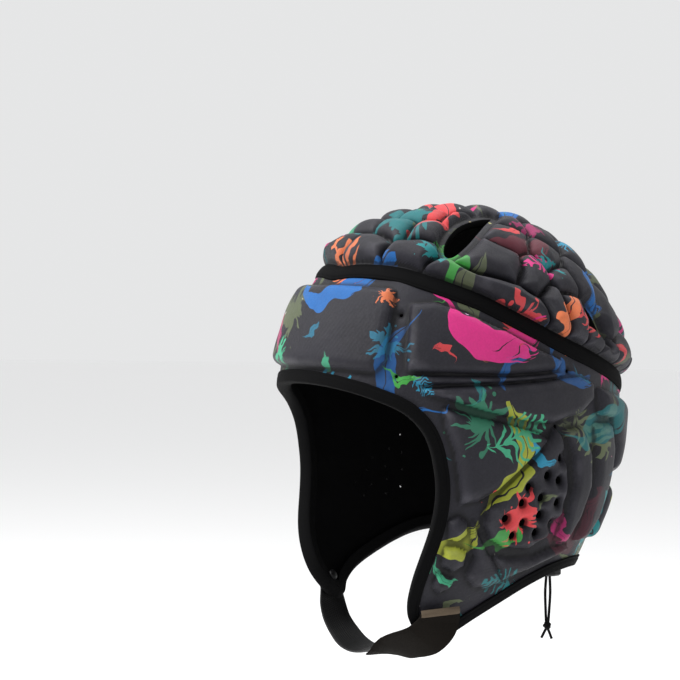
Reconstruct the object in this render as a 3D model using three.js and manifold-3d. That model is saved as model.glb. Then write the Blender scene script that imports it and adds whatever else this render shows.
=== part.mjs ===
// A padded rugby scrum cap: printed foam panels over a black lining, taped, bound and
// fastened with a webbing chin strap. Millimetres, +Z up, the wearer faces -Y, the
// wearer's left is +X. The origin is where the crown lining sits on top of the head.
//
// The shell is worked out from the middle of the head at the height of the eyes, and
// moved down at the end. Two angles seen from there describe it: "around" (0 at the middle
// of the forehead, 90 over the wearer's left ear, 180 at the nape) and "up" (0 level,
// 90 at the crown). Pads are laid out flat on two charts of the shell, cut there, and
// then bent round the head form.
import * as THREE from 'three';
import Module from 'manifold-3d';
import { mergeVertices } from 'three/addons/utils/BufferGeometryUtils.js';

const wasm = await Module();
wasm.setup();
const DEG = Math.PI / 180;

// Outer head form
const HALF_WIDTH = 87;
const FRONT = 104;
const BACK = 109;
const TOP = 112.5;
const DROP = { side: 168, front: 160, back: 142 };
const UPRIGHT_POWER = 2.12;
const PLAN_POWER = 2.2;
const CROWN_SHIFT = 1.5; // the crown sits a little behind the middle
const NAPE_TAPER = 0.001; // per mm below eye level
const FLAP_FLARE = 10; // flaps stand off the cheeks at their tips
const RIGHT_LIFT = 13; // the strap draws the wearer's right flap up

// Layers, as depths below the outer form
const FLANGE = 6;
const FOAM_BACK = 8.8;
const LINING_FRONT = 9.8;
const LINING_BACK = 10.8;

function formPoint(around, up) {
  const s = Math.sin(around * DEG);
  const c = Math.cos(around * DEG);
  const reach = c > 0 ? FRONT : BACK;
  const plan = (Math.abs(s / HALF_WIDTH) ** PLAN_POWER + Math.abs(c / reach) ** PLAN_POWER) ** (-1 / PLAN_POWER);
  const drop = DROP.side * s * s + (c > 0 ? DROP.front : DROP.back) * c * c;
  const tall = up > 0 ? TOP : drop;
  const cu = Math.cos(up * DEG);
  const su = Math.sin(up * DEG);
  const r = (Math.abs(cu / plan) ** UPRIGHT_POWER + Math.abs(su / tall) ** UPRIGHT_POWER) ** (-1 / UPRIGHT_POWER);
  const point = new THREE.Vector3(r * cu * s, -r * cu * c, r * su);
  if (point.z > 0) {
    point.y += CROWN_SHIFT * (point.z / TOP) ** 2;
    return point;
  }
  const below = -point.z;
  if (point.y > 0) point.y *= 1 - (NAPE_TAPER * below * below) / (below + 15);
  const low = THREE.MathUtils.smoothstep(below, 0, 130);
  const front = THREE.MathUtils.smoothstep(Math.cos(around * DEG), -0.2, 0.75);
  point.x += Math.sign(s) * 0.82 * FLAP_FLARE * low * front;
  point.y -= 0.57 * FLAP_FLARE * low * front;
  point.z += RIGHT_LIFT * low * THREE.MathUtils.smoothstep(-s, 0, 0.7);
  return point;
}

// The two flat charts, in millimetres
const CROWN_SCALE = 1.85;
const SIDE_X = 1.6;
const SIDE_Y = 1.9;
const crownChart = (x, y) => formPoint(Math.atan2(x, -y) / DEG, 90 - Math.hypot(x, y) / CROWN_SCALE);
const sideChart = (x, y) => formPoint(x / SIDE_X, y / SIDE_Y);
const toCrown = (around, up) => [
  (90 - up) * CROWN_SCALE * Math.sin(around * DEG),
  -(90 - up) * CROWN_SCALE * Math.cos(around * DEG),
];

function skin(chart, x, y, depth) {
  const point = chart(x, y);
  const dx = chart(x + 0.5, y).sub(chart(x - 0.5, y));
  const dy = chart(x, y + 0.5).sub(chart(x, y - 0.5));
  const normal = dx.cross(dy).normalize();
  if (normal.dot(point) < 0) normal.negate();
  return point.addScaledVector(normal, -depth);
}

const side = (around, up, depth) => skin(sideChart, around * SIDE_X, up * SIDE_Y, depth);

// A smooth curve through a table of [position, value]
function through(table) {
  return (at) => {
    let i = 1;
    while (i < table.length - 1 && table[i][0] < at) i += 1;
    const [x0, y0] = table[i - 1];
    const [x1, y1] = table[i];
    const before = table[i - 2] ?? [2 * x0 - x1, y1];
    const after = table[i + 1] ?? [2 * x1 - x0, y0];
    const m0 = (y1 - before[1]) / (x1 - before[0]);
    const m1 = (after[1] - y0) / (after[0] - x0);
    const w = x1 - x0;
    const t = (at - x0) / w;
    return y0 * (2 * t ** 3 - 3 * t * t + 1) + m0 * w * (t ** 3 - 2 * t * t + t)
      + y1 * (3 * t * t - 2 * t ** 3) + m1 * w * (t ** 3 - t * t);
  };
}

// Middle of the tape between crown and wrap: around, up
const TAPE_LINE = [
  [0, 43], [10, 43.8], [21, 44], [33, 43.6], [46, 41.7], [60, 39], [70, 36.6], [80, 33.2],
  [90, 29.4], [100, 25], [110, 20.8], [120, 16.8], [130, 12.8], [141, 9.2], [155, 5.6], [168, 3.6], [180, 3],
];
const TAPE_HALF = 5.2;
const tapeUp = through(TAPE_LINE);

// Free edge, from the middle of the forehead round the flap to the nape: around, up
const FREE_EDGE = [
  [0, 6], [12, 5.5], [23, 4], [33, 1.4], [42, -2.4], [48.4, -9], [51.8, -19], [52.6, -28], [50.4, -37],
  [46, -44.6], [41, -52], [38.6, -58], [42, -63.4], [50, -66.4], [60, -64.2], [71, -61.4], [84, -58.4],
  [98, -55], [114, -51.6], [131, -49.6], [155, -49.4], [180, -49.8],
];
const BINDING = 8;

function mirrored(rows) {
  const left = rows.slice(1, -1).map(([a, u]) => [-a, u]).reverse();
  return [...rows, ...left];
}

// A closed line round the head as chart points, evenly spaced on each half
function spaced(rows, steps) {
  const flat = rows.map(([a, u]) => new THREE.Vector3(a * SIDE_X, u * SIDE_Y, 0));
  const before = new THREE.Vector3(-flat[1].x, flat[1].y, 0);
  const last = flat.length - 1;
  const beyond = new THREE.Vector3(2 * flat[last].x - flat[last - 1].x, flat[last - 1].y, 0);
  const curve = new THREE.CatmullRomCurve3([before, ...flat, beyond], false, 'centripetal');
  const fine = curve.getPoints(60 * flat.length);
  const half = fine.filter((p) => p.x >= -1e-6 && p.x <= 180 * SIDE_X + 1e-6);
  const line = new THREE.CatmullRomCurve3(half, false, 'centripetal');
  line.arcLengthDivisions = 800;
  const even = line.getSpacedPoints(steps);
  even[0].x = 0;
  even[steps].x = 180 * SIDE_X;
  return even.map((p) => [p.x / SIDE_X, p.y / SIDE_Y]);
}

// Steps sideways across the shell, in real millimetres, from a line in the side chart
function offsetLine(rows, distance) {
  return rows.map(([a, u], i) => {
    const prev = rows[i - 1] ?? [-rows[1][0], rows[1][1]];
    const next = rows[i + 1] ?? [360 - rows[i - 1][0], rows[i - 1][1]];
    const du = formPoint(a, u + 0.1).sub(formPoint(a, u - 0.1)).divideScalar(0.2);
    const da = formPoint(a + 0.1, u).sub(formPoint(a - 0.1, u)).divideScalar(0.2);
    const along = formPoint(...next).sub(formPoint(...prev)).normalize();
    const out = da.clone().cross(du).normalize();
    const across = out.cross(along).normalize();
    const g = [da.dot(da), da.dot(du), du.dot(du)];
    const b = [across.dot(da), across.dot(du)];
    const det = g[0] * g[2] - g[1] * g[1];
    return [
      a + (distance * (b[0] * g[2] - b[1] * g[1])) / det,
      u + (distance * (b[1] * g[0] - b[0] * g[1])) / det,
    ];
  });
}

const edgeHalf = spaced(FREE_EDGE, 38);
const tapeHalf = spaced(TAPE_LINE, 28);
const edgeLine = edgeHalf.map(([a, u]) => formPoint(a, u));
function nearEdge(point) {
  let near = Infinity;
  const piece = new THREE.Line3();
  const foot = new THREE.Vector3();
  for (let i = 0; i < edgeLine.length - 1; i += 1) {
    piece.set(edgeLine[i], edgeLine[i + 1]).closestPointToPoint(point, true, foot);
    near = Math.min(near, foot.distanceTo(point));
  }
  return near;
}
// An inset line loses the points that fold over each other in a tight corner
const edgeInset = (distance) => offsetLine(edgeHalf, distance)
  .filter(([a, u]) => nearEdge(formPoint(a, u)) > Math.abs(distance) - 0.3);
const tapeOffset = (distance) => offsetLine(tapeHalf, distance);

// Leaf-shaped vents on the crown chart: rounded end, pointed end, half width
const VENTS = [
  { name: 'front', x: 56, y: -41, tipX: 22, tipY: 12, half: 6.4 },
  { name: 'rear', x: 87, y: 56, tipX: 96, tipY: 86, half: 5 },
];
function leaf({ x, y, tipX, tipY, half }, grow, flip) {
  const axis = new THREE.Vector2(tipX - x, tipY - y);
  const length = axis.length();
  axis.normalize();
  const normal = new THREE.Vector2(-axis.y, axis.x);
  const outline = [];
  const steps = 12;
  for (let i = 0; i < 2 * steps; i += 1) {
    const t = i <= steps ? i / steps : (2 * steps - i) / steps;
    const s = 1 - Math.cos((t * Math.PI) / 2);
    const width = (half * 2.6 * Math.sqrt(s) * (1 - s) + grow) * (i <= steps ? 1 : -1);
    const at = s * (length + 2 * grow) - grow;
    const edge = i === 0 || i === steps ? 0 : width;
    outline.push([(x + axis.x * at + normal.x * edge) * flip, y + axis.y * at + normal.y * edge]);
  }
  return outline;
}

// Crown lobes on the crown chart, wearer's left half; a lobe is the land round its line
const CROWN_LOBES = [
  // name, x, y, to x, to y
  ['brow_middle', 13, -72, 13, -66], ['brow_outer', 44, -60, 46, -55],
  ['second_middle', 15, -49, 18, -47], ['second_outer', 31, -40, 34, -37],
  ['third', 15, -29, 17, -26], ['vent_inner', 31, -17, 28, -10],
  ['top_middle', 11, -8, 13, -7], ['top_rear', 11, 12, 13, 13], ['vent_tip', 30, 15, 33, 17],
  ['kite', 64, -27, 69, -3], ['behind_vent', 47, 9, 52, 6],
  ['tape_roll', 66, -54, 84, -38], ['tape_roll', 84, -38, 98, -17], ['tape_roll', 98, -17, 107, 6],
  ['square', 75, 13, 79, 12], ['round', 58, 30, 62, 31], ['bead', 73, 38, 77, 40],
  ['upright_a', 96, 26, 109, 29], ['upright_b', 92, 43, 112, 48], ['crest_a', 34, 37, 38, 38],
  ['crest_b', 12, 33, 14, 34], ['crest_c', 13, 54, 16, 56], ['crest_d', 38, 60, 42, 62],
  ['crest_e', 64, 56, 68, 60], ['behind_rear', 68, 82, 74, 92], ['tape_bead_a', 110, 68, 114, 66],
  ['tape_bead_b', 106, 88, 104, 96], ['low_a', 14, 78, 16, 80], ['low_b', 40, 84, 44, 88],
  ['low_c', 15, 102, 17, 106], ['low_d', 44, 110, 50, 114], ['low_e', 76, 112, 84, 108],
  ['nape_a', 18, 130, 20, 140], ['nape_b', 50, 136, 62, 132],
];

function toSegment(x, y, ax, ay, bx, by) {
  const dx = bx - ax;
  const dy = by - ay;
  const t = Math.max(0, Math.min(1, ((x - ax) * dx + (y - ay) * dy) / (dx * dx + dy * dy + 1e-9)));
  return Math.hypot(x - ax - t * dx, y - ay - t * dy);
}

// Distance inside a closed outline, negative outside
function inside(x, y, outline) {
  let near = Infinity;
  let odd = false;
  outline.forEach(([ax, ay], i) => {
    const [bx, by] = outline[(i + 1) % outline.length];
    near = Math.min(near, toSegment(x, y, ax, ay, bx, by));
    if ((ay > y) !== (by > y) && x < ((bx - ax) * (y - ay)) / (by - ay) + ax) odd = !odd;
  });
  return odd ? near : -near;
}

// Padding has no sharp valleys: each depth is the mean of its neighbourhood
function soften(depth, reach) {
  return (x, y) => (2 * depth(x, y) + depth(x + reach, y) + depth(x - reach, y)
    + depth(x, y + reach) + depth(x, y - reach)) / 6;
}

const pillow = (d, wide) => Math.sqrt(1 - (1 - Math.max(0, Math.min(1, d / wide))) ** 2);

function crownDepth(x, y) {
  const ax = Math.abs(x);
  const near = {};
  CROWN_LOBES.forEach(([name, x0, y0, x1, y1]) => {
    near[name] = Math.min(near[name] ?? Infinity, toSegment(ax, y, x0, y0, x1, y1));
  });
  const [first, second] = Object.values(near).sort((p, q) => p - q);
  const around = Math.atan2(ax, -y) / DEG;
  const toTape = (90 - tapeUp(around)) * CROWN_SCALE - Math.hypot(x, y) - TAPE_HALF - 1;
  const toVent = Math.min(...VENTS.map((vent) => -inside(ax, y, leaf(vent, 0, 1)) - 4));
  const room = Math.min((second - first) / 2 - 0.5, ax - 0.6, toTape * 0.85, toVent);
  const swell = 4 * Math.max(0, 1 - toTape / 48);
  return FLANGE - (FLANGE + swell) * pillow(room, 7.5);
}

// Wrap pads, wearer's left half: name, height, round-over, outline as around, up
const WRAP_PADS = [
  ['forehead', 5.6, 6, [[-34, 38], [34, 38], [35, 30], [34.5, 15], [31, 10.8], [20, 11.4], [-20, 11.4], [-31, 10.8], [-34.5, 15], [-35, 30]]],
  ['wedge', 5.4, 6, [[41, 33.5], [50, 35], [62, 32.5], [78, 27.5], [92, 21.5], [104, 17], [101, 13.5], [80, 12.4], [60, 12], [42, 11.8]]],
  ['strip', 3, 2, [[43, 10.6], [60, 11], [80, 11.4], [100, 12.5], [108, 12.6], [100, 10.9], [80, 9.6], [60, 8.4], [46, 8]]],
  ['roll', 6, 7, [[46, 6.2], [60, 7.6], [80, 8.8], [100, 10.2], [112, 10.8], [119, 8.5], [119.5, 2.5], [112, -2.6], [98, -5.6], [86, -4.4], [70, -1], [58, 2.4], [50, 4.4]]],
  ['cheekbone', 5.2, 8, [[54, 0.5], [64, -2.2], [78, -5.4], [92, -9], [97, -11.4], [92, -16], [84, -22], [76, -27.4], [68, -30], [61, -30.5], [60.5, -24], [58.5, -14], [55.5, -7]]],
  ['ear_guard', 5.6, 6, [[100, -7], [103, -10], [106, -17], [108.6, -26], [108, -35], [102, -42], [92, -45], [81, -44], [73.5, -41], [70.5, -36.5], [72, -32], [79, -26.6], [90, -19]]],
  ['crescent', 5.6, 5, [[104, -8], [113, -7], [120, -16], [122.5, -26], [120.5, -36], [114, -43], [108.5, -43], [111, -35], [112, -26], [109.4, -16]]],
  ['lower_roll', 4.4, 4, [[76, -45.6], [84, -47], [96, -47.4], [106, -45.2], [114, -43.8], [120, -43.6], [118, -45], [106, -48], [94, -50.6], [82, -52.4]]],
  ['outer_roll', 5.6, 7, [[122, -6], [132, -6], [138, -14], [139.5, -26], [137, -36], [130, -41.6], [123, -42.4], [124.6, -34], [125, -25], [124, -15]]],
  ['back_upper', 5.6, 7, [[123, 6.5], [140, 2.6], [155, -1], [168, -2.8], [178.6, -3.2], [178.6, -22.6], [160, -22.6], [143.5, -21], [140.5, -13], [134, -4.4], [124, -3]]],
  ['back_lower', 5.6, 7, [[143.5, -25], [160, -26.4], [178.6, -26.6], [178.6, -41.6], [160, -41.4], [140, -41], [141.5, -34]]],
  ['flap', 5.2, 8, [[66, -33.6], [69, -39.5], [73, -44], [79, -48.6], [82, -52.6], [75, -53.6], [69, -52.6], [66, -50.8], [65, -49.6], [67.5, -45], [66.5, -39]]],
  ['bead_a', 4.6, 4, [[57, -34.5], [61, -33.4], [64.4, -35.6], [64.6, -39], [61, -40.6], [57.4, -39.4]]],
  ['bead_b', 4.6, 4, [[56, -41.6], [60.4, -41.6], [64.6, -43.4], [64, -47], [59.4, -48.2], [54.6, -46]]],
  ['bead_c', 4.6, 4, [[53.4, -47.8], [58, -49.2], [60.6, -50.2], [58, -52], [53.6, -52.8], [50.6, -51]]],
].map(([name, height, soft, outline]) => ({
  name, height, soft, flat: outline.map(([a, u]) => [a * SIDE_X, u * SIDE_Y]),
}));

function wrapDepth(x, y) {
  const ax = Math.abs(x);
  const free = nearEdge(sideChart(ax, y)) - BINDING - 1;
  let rise = 0;
  WRAP_PADS.forEach(({ height, soft, flat }) => {
    const d = Math.min(inside(ax, y, flat), free);
    rise = Math.max(rise, height * pillow(d, soft));
  });
  return FLANGE - rise;
}

// Holes through the wrap: around, up, radius. The ear guard's are the large ones.
const WRAP_HOLES = [
  [89, -27, 2.1], [97.5, -23.5, 2.1], [86.5, -31.8, 2.1], [95.5, -30.5, 2.1], [80, -36, 2.1], [88, -37.6, 2.1],
  [103, -38, 2.1], [95, -40.6, 2.1], [103.4, -17.6, 2.1], [103.6, -25, 2.1], [104, -31.8, 2.1], [96, -35.6, 2.1],
  [84, -41, 2.1], [38, 30, 1.1], [38.5, 10, 1.1], [107.5, 13, 1.1], [101.5, -6.8, 1.1],
];

function solidOf(geometry) {
  geometry.deleteAttribute('normal');
  geometry.deleteAttribute('uv');
  const merged = mergeVertices(geometry, 1e-5);
  return new wasm.Manifold(new wasm.Mesh({
    numProp: 3,
    vertProperties: new Float32Array(merged.attributes.position.array),
    triVerts: new Uint32Array(merged.index.array),
  }));
}

function prism(outline, low, high) {
  const shape = new THREE.Shape(outline.map(([x, y]) => new THREE.Vector2(x, y)));
  const geometry = new THREE.ExtrudeGeometry(shape, { depth: high - low, bevelEnabled: false, curveSegments: 1 });
  geometry.translate(0, 0, low);
  return solidOf(geometry);
}

function disc(x, y, rx, ry, sides) {
  return Array.from({ length: sides }, (_, i) => {
    const turn = (2 * Math.PI * (i + 0.5)) / sides;
    return [x + rx * Math.cos(turn), y + ry * Math.sin(turn)];
  });
}

// A flat slab with a fine grid on top and a grid every "coarse" steps below
function slab(box, nx, ny, coarse, top, bottom) {
  const [x0, x1, y0, y1] = box;
  const positions = [];
  const index = [];
  const gridX = (i) => x0 + ((x1 - x0) * i) / nx;
  const gridY = (j) => y0 + ((y1 - y0) * j) / ny;
  // a hair of unevenness keeps flat land from being merged into long facets
  const hair = (i, j) => 0.012 * ((7 * Math.min(i, nx - i) + 13 * j) % 5) / 4;
  for (let j = 0; j <= ny; j += 1) {
    for (let i = 0; i <= nx; i += 1) positions.push(gridX(i), gridY(j), -top(gridX(i), gridY(j)) - hair(i, j));
  }
  const low = positions.length / 3;
  const mx = nx / coarse;
  const my = ny / coarse;
  for (let j = 0; j <= my; j += 1) {
    for (let i = 0; i <= mx; i += 1) {
      positions.push(gridX(i * coarse), gridY(j * coarse), -bottom - hair(i * coarse, j * coarse));
    }
  }
  const T = (i, j) => j * (nx + 1) + i;
  const B = (i, j) => low + j * (mx + 1) + i;
  const quad = (a, b, c, d, lean) => index.push(...(lean ? [a, b, c, a, c, d] : [a, b, d, b, c, d]));
  for (let j = 0; j < ny; j += 1) {
    for (let i = 0; i < nx; i += 1) quad(T(i, j), T(i + 1, j), T(i + 1, j + 1), T(i, j + 1), i < nx / 2);
  }
  for (let j = 0; j < my; j += 1) {
    for (let i = 0; i < mx; i += 1) quad(B(i, j + 1), B(i + 1, j + 1), B(i + 1, j), B(i, j), i >= mx / 2);
  }
  const wall = (b0, b1, tops) => {
    const half = Math.floor((tops.length - 1) / 2);
    tops.slice(1).forEach((t, k) => index.push(k < half ? b0 : b1, t, tops[k]));
    index.push(b0, b1, tops[half]);
  };
  const steps = Array.from({ length: coarse + 1 }, (_, k) => k);
  for (let i = 0; i < mx; i += 1) {
    wall(B(i, 0), B(i + 1, 0), steps.map((k) => T(i * coarse + k, 0)));
    wall(B(i + 1, my), B(i, my), steps.map((k) => T((i + 1) * coarse - k, ny)));
  }
  for (let j = 0; j < my; j += 1) {
    wall(B(mx, j), B(mx, j + 1), steps.map((k) => T(nx, j * coarse + k)));
    wall(B(0, j + 1), B(0, j), steps.map((k) => T(0, (j + 1) * coarse - k)));
  }
  return new wasm.Manifold(new wasm.Mesh({
    numProp: 3, vertProperties: new Float32Array(positions), triVerts: new Uint32Array(index),
  }));
}

function geometryOf(points, index) {
  const geometry = new THREE.BufferGeometry();
  geometry.setAttribute('position', new THREE.Float32BufferAttribute(points.flatMap((p) => [p.x, p.y, p.z]), 3));
  geometry.setIndex(index);
  geometry.computeVertexNormals();
  return geometry;
}

// Bends a cut slab round the form. A slab that goes all the way round is joined at the nape.
function bend(solid, chart, joinAt) {
  const mesh = solid.getMesh();
  const flat = [];
  for (let i = 0; i < mesh.vertProperties.length; i += mesh.numProp) flat.push(Array.from(mesh.vertProperties.slice(i, i + 3)));
  const used = flat.map((_, i) => i);
  let tris = Array.from({ length: mesh.triVerts.length / 3 }, (_, k) => Array.from(mesh.triVerts.slice(3 * k, 3 * k + 3)));
  if (joinAt) {
    const atEnd = (i, sign) => Math.abs(flat[i][0] - sign * joinAt) < 2e-3;
    tris = tris.filter((t) => !t.every((i) => atEnd(i, 1)) && !t.every((i) => atEnd(i, -1)));
    const right = used.filter((i) => atEnd(i, 1));
    used.filter((i) => atEnd(i, -1)).forEach((i) => {
      const gap = (k) => Math.hypot(flat[k][1] - flat[i][1], flat[k][2] - flat[i][2]);
      const match = right.reduce((best, k) => (gap(k) < gap(best) ? k : best), right[0]);
      used[i] = match;
    });
  }
  const order = new Map();
  const points = [];
  const index = [];
  tris.forEach((t) => {
    const named = t.map((i) => used[i]);
    if (new Set(named).size < 3) return;
    named.forEach((i) => {
      if (!order.has(i)) {
        order.set(i, points.length);
        points.push(skin(chart, flat[i][0], flat[i][1], -flat[i][2]));
      }
      index.push(order.get(i));
    });
  });
  return geometryOf(points, index);
}

// Joins rings of points into a body: closed round, or with flat ends
function sweep(rings, closed) {
  const n = rings[0].length;
  const points = rings.flat();
  const index = [];
  const count = closed ? rings.length : rings.length - 1;
  for (let i = 0; i < count; i += 1) {
    const a = i * n;
    const b = ((i + 1) % rings.length) * n;
    for (let k = 0; k < n; k += 1) {
      const k1 = (k + 1) % n;
      index.push(a + k, b + k, b + k1, a + k, b + k1, a + k1);
    }
  }
  if (!closed) {
    [[0, 1], [(rings.length - 1) * n, -1]].forEach(([start, way]) => {
      for (let k = 1; k < n - 1; k += 1) index.push(start, ...(way > 0 ? [start + k, start + k + 1] : [start + k + 1, start + k]));
    });
  }
  let volume = 0;
  for (let k = 0; k < index.length; k += 3) {
    volume += points[index[k]].dot(points[index[k + 1]].clone().cross(points[index[k + 2]]));
  }
  if (volume < 0) for (let k = 0; k < index.length; k += 3) [index[k + 1], index[k + 2]] = [index[k + 2], index[k + 1]];
  return geometryOf(points, index);
}

const CLOTH = { print: '#3b3a42', black: '#161617' };
const scrumCap = new THREE.Group();
function add(name, geometry, color, roughness) {
  const mesh = new THREE.Mesh(geometry, new THREE.MeshStandardMaterial({ color, roughness, metalness: 0 }));
  mesh.name = name;
  scrumCap.add(mesh);
  return mesh;
}

// Crown: a lobed pad ending under the tape, with its vents cut through
const closedLoop = (half) => mirrored(half);
const crownOutline = (distance) => closedLoop(tapeOffset(distance)).map(([a, u]) => toCrown(a, u));
const CROWN_BOX = [-129.6, 129.6, -93.6, 165.6];
const ventCuts = [1, -1].flatMap((flip) => VENTS.map((vent) => prism(leaf(vent, 0, flip), -14, 6)));
function crownSlab(fine, coarse, top, bottom) {
  let solid = slab(CROWN_BOX, fine, fine, coarse, top, bottom);
  solid = solid.intersect(prism(crownOutline(0.2), -20, 20));
  ventCuts.forEach((cut) => { solid = solid.subtract(cut); });
  return solid;
}
const tapeLand = prism(crownOutline(-4), -FLANGE, 20).subtract(prism(crownOutline(TAPE_HALF + 0.4), -20, 30));
add('crown_panel', bend(crownSlab(34, 2, soften(crownDepth, 1.6), FOAM_BACK).subtract(tapeLand), crownChart), CLOTH.print, 0.7);
add('crown_lining', bend(crownSlab(17, 1, () => LINING_FRONT, LINING_BACK), crownChart), CLOTH.black, 0.9);

// Wrap: forehead, sides, back and flaps in one padded panel
const REACH = 180 * SIDE_X;
const SIDE_BOX = [-REACH, REACH, -69 * SIDE_Y, 45 * SIDE_Y];
function openLoop(half) {
  const right = half.map(([a, u]) => [a, u]);
  const beyond = half.slice(0, -1).reverse().map(([a, u]) => [360 - a, u]);
  const all = [...right, ...beyond];
  const whole = [...all.slice(1).map(([a, u]) => [-a, u]).reverse(), ...all];
  return whole.filter(([a]) => Math.abs(a) < 200).map(([a, u]) => [a * SIDE_X, u * SIDE_Y]);
}
function band(upper, lower) {
  return [...openLoop(upper), ...openLoop(lower).reverse()];
}
const punch = (rows, sides, shrink) => [1, -1].flatMap((flip) => rows.map(([a, u, r]) => (
  prism(disc(flip * a * SIDE_X, u * SIDE_Y, r * shrink * 1.16, r * shrink, sides), -14, 6))));
const padHoles = punch(WRAP_HOLES, 6, 1);
const liningHoles = punch(WRAP_HOLES.filter(([, , r]) => r > 2), 4, 0.5);
function wrapSlab(nx, ny, coarse, top, bottom, hem, holes) {
  let solid = slab(SIDE_BOX, nx, ny, coarse, top, bottom);
  solid = solid.intersect(prism(band(tapeOffset(-0.2), edgeInset(hem)), -20, 20));
  holes.forEach((cut) => { solid = solid.subtract(cut); });
  return solid;
}
const wrapLands = [
  prism(band(tapeOffset(4), tapeOffset(-TAPE_HALF - 0.4)), -FLANGE, 20),
  prism(band(edgeInset(BINDING + 0.4), edgeInset(-4)), -FLANGE, 20),
];
let wrap = wrapSlab(72, 28, 2, soften(wrapDepth, 1.8), FOAM_BACK, 2, padHoles);
wrapLands.forEach((land) => { wrap = wrap.subtract(land); });
add('wrap_panel', bend(wrap, sideChart, REACH), CLOTH.print, 0.7);
add('wrap_lining', bend(wrapSlab(36, 14, 1, () => LINING_FRONT, LINING_BACK, 3, liningHoles), sideChart, REACH), CLOTH.black, 0.9);

// Tape over the seam: a flat strip with a slight crown. across, depth
const TAPE_SECTION = [[-TAPE_HALF, 5.65], [-TAPE_HALF, 4.9], [0, 4.5], [TAPE_HALF, 4.9], [TAPE_HALF, 5.65]];
// Binding folded over the free edge. inset from the edge, depth
const BINDING_SECTION = [
  [BINDING, 4.8], [1.4, 4.7], [0, 6.4], [0, 11], [1.4, 13], [BINDING, 13],
  [BINDING, 12.1], [1.7, 12.1], [1.7, 5.65], [BINDING, 5.65],
];
function trim(half, section) {
  const rails = section.map(([distance, depth]) => mirrored(offsetLine(half, distance)).map(([a, u]) => side(a, u, depth)));
  return sweep(rails[0].map((_, i) => rails.map((rail) => rail[i])), true);
}
add('crown_tape', trim(tapeHalf, TAPE_SECTION), CLOTH.black, 0.8);
add('edge_binding', trim(edgeHalf, BINDING_SECTION), CLOTH.black, 0.8);

// Webbing: a flat strip along a path. Rows are x, y, z and the direction of its width.
function webbing(rows, width, thick, steps) {
  const path = new THREE.CatmullRomCurve3(rows.map((r) => new THREE.Vector3(r[0], r[1], r[2])), false, 'centripetal');
  const lean = new THREE.CatmullRomCurve3(rows.map((r) => new THREE.Vector3(r[3], r[4], r[5])), false, 'centripetal');
  const rings = [];
  for (let i = 0; i <= steps; i += 1) {
    const at = path.getPoint(i / steps);
    const along = path.getTangent(i / steps);
    const wide = lean.getPoint(i / steps);
    wide.addScaledVector(along, -wide.dot(along)).normalize();
    const out = wide.clone().cross(along).normalize();
    rings.push([[-1, -1], [1, -1], [1, 1], [-1, 1]].map(([w, t]) => (
      at.clone().addScaledVector(wide, (w * width) / 2).addScaledVector(out, (t * thick) / 2))));
  }
  return sweep(rings, false);
}
const onFlap = (around, up, depth, way) => {
  const wide = side(around + 2, up, depth).sub(side(around - 2, up, depth)).setLength(way);
  return [...side(around, up, depth), ...wide];
};
const STRAP_PATH = [
  onFlap(-46, -60.6, 3, 1), onFlap(-46.4, -66, 2.8, 1), [-49.5, -43, -128, 0.1, -0.99, -0.1],
  [-40, -42.6, -134.6, 0.05, -0.95, -0.3], [-28, -43.6, -137.6, 0, -0.97, -0.25], [-14, -46, -138, 0, -0.98, -0.18],
  [4, -50, -135, 0, -0.99, -0.05], [16, -52.6, -132.4, 0, -0.98, 0.1], [28, -53.2, -129.8, 0, -0.78, 0.62],
];
add('chin_strap', webbing(STRAP_PATH, 17, 1.8, 26), CLOTH.black, 0.85);
const TAB_PATH = [
  onFlap(54, -57, 1.6, -1), onFlap(52, -60, 0.8, -1), onFlap(48, -62.2, -1.2, -0.8), [42.5, -54.5, -128, -0.2, -0.6, 0.75],
  [30, -55.2, -131.4, 0, -0.75, 0.66], [16, -53.2, -134.9, 0, -0.97, 0.12], [4, -50.6, -137.4, 0, -0.99, -0.08],
];
add('strap_tab', webbing(TAB_PATH, 22, 1.6, 18), CLOTH.black, 0.9);

// Stud on the inside of the wearer's right flap
const stud = new THREE.LatheGeometry([[0, 0], [3.2, 0], [3, 0.9], [1.8, 1.7], [0, 2]].map(([r, z]) => new THREE.Vector2(r, z)), 12);
const studAt = side(-47, -61.4, 13.35);
const studMesh = add('strap_stud', mergeVertices(stud.deleteAttribute('uv').deleteAttribute('normal'), 1e-4), CLOTH.black, 0.5);
studMesh.position.copy(studAt);
studMesh.quaternion.setFromUnitVectors(new THREE.Vector3(0, 1, 0), studAt.clone().sub(side(-47, -61.4, 0)).normalize());

// Cord lock below the nape, its two cords and their knot
const LOCK_OUT = 6; // the lock hangs from the outer side of the binding
const nape = side(180, -49.8, 8);
nape.y += LOCK_OUT;
const lockShape = new THREE.Shape([[-5, -4], [5, -4], [6, 0], [5, 4], [-5, 4], [-6, 0]].map(([x, y]) => new THREE.Vector2(x, y)));
const lock = new THREE.ExtrudeGeometry(lockShape, { depth: 8, bevelEnabled: true, bevelThickness: 1, bevelSize: 1, bevelSegments: 1, curveSegments: 1 });
add('cord_lock', lock, CLOTH.black, 0.5).position.set(0, nape.y, nape.z - 10.6);
const lockFoot = nape.z - 11.6;
function cord(name, bends) {
  const path = new THREE.CatmullRomCurve3(bends.map(([x, y, z]) => new THREE.Vector3(x, nape.y + y, lockFoot + z)));
  const round = new THREE.Shape(disc(0, 0, 0.8, 0.8, 8).map(([x, y]) => new THREE.Vector2(x, y)));
  return add(name, new THREE.ExtrudeGeometry(round, { steps: 12, extrudePath: path }), CLOTH.black, 0.8);
}
cord('draw_cord_left', [[1.6, 0, -0.3], [1.9, 0.4, -10], [1.5, 0.2, -20], [1.1, 0, -27.2]]);
cord('draw_cord_right', [[-1.6, 0, -0.3], [-1.9, -0.4, -10], [-1.5, -0.2, -20], [-1.1, 0, -27.2]]);
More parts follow.
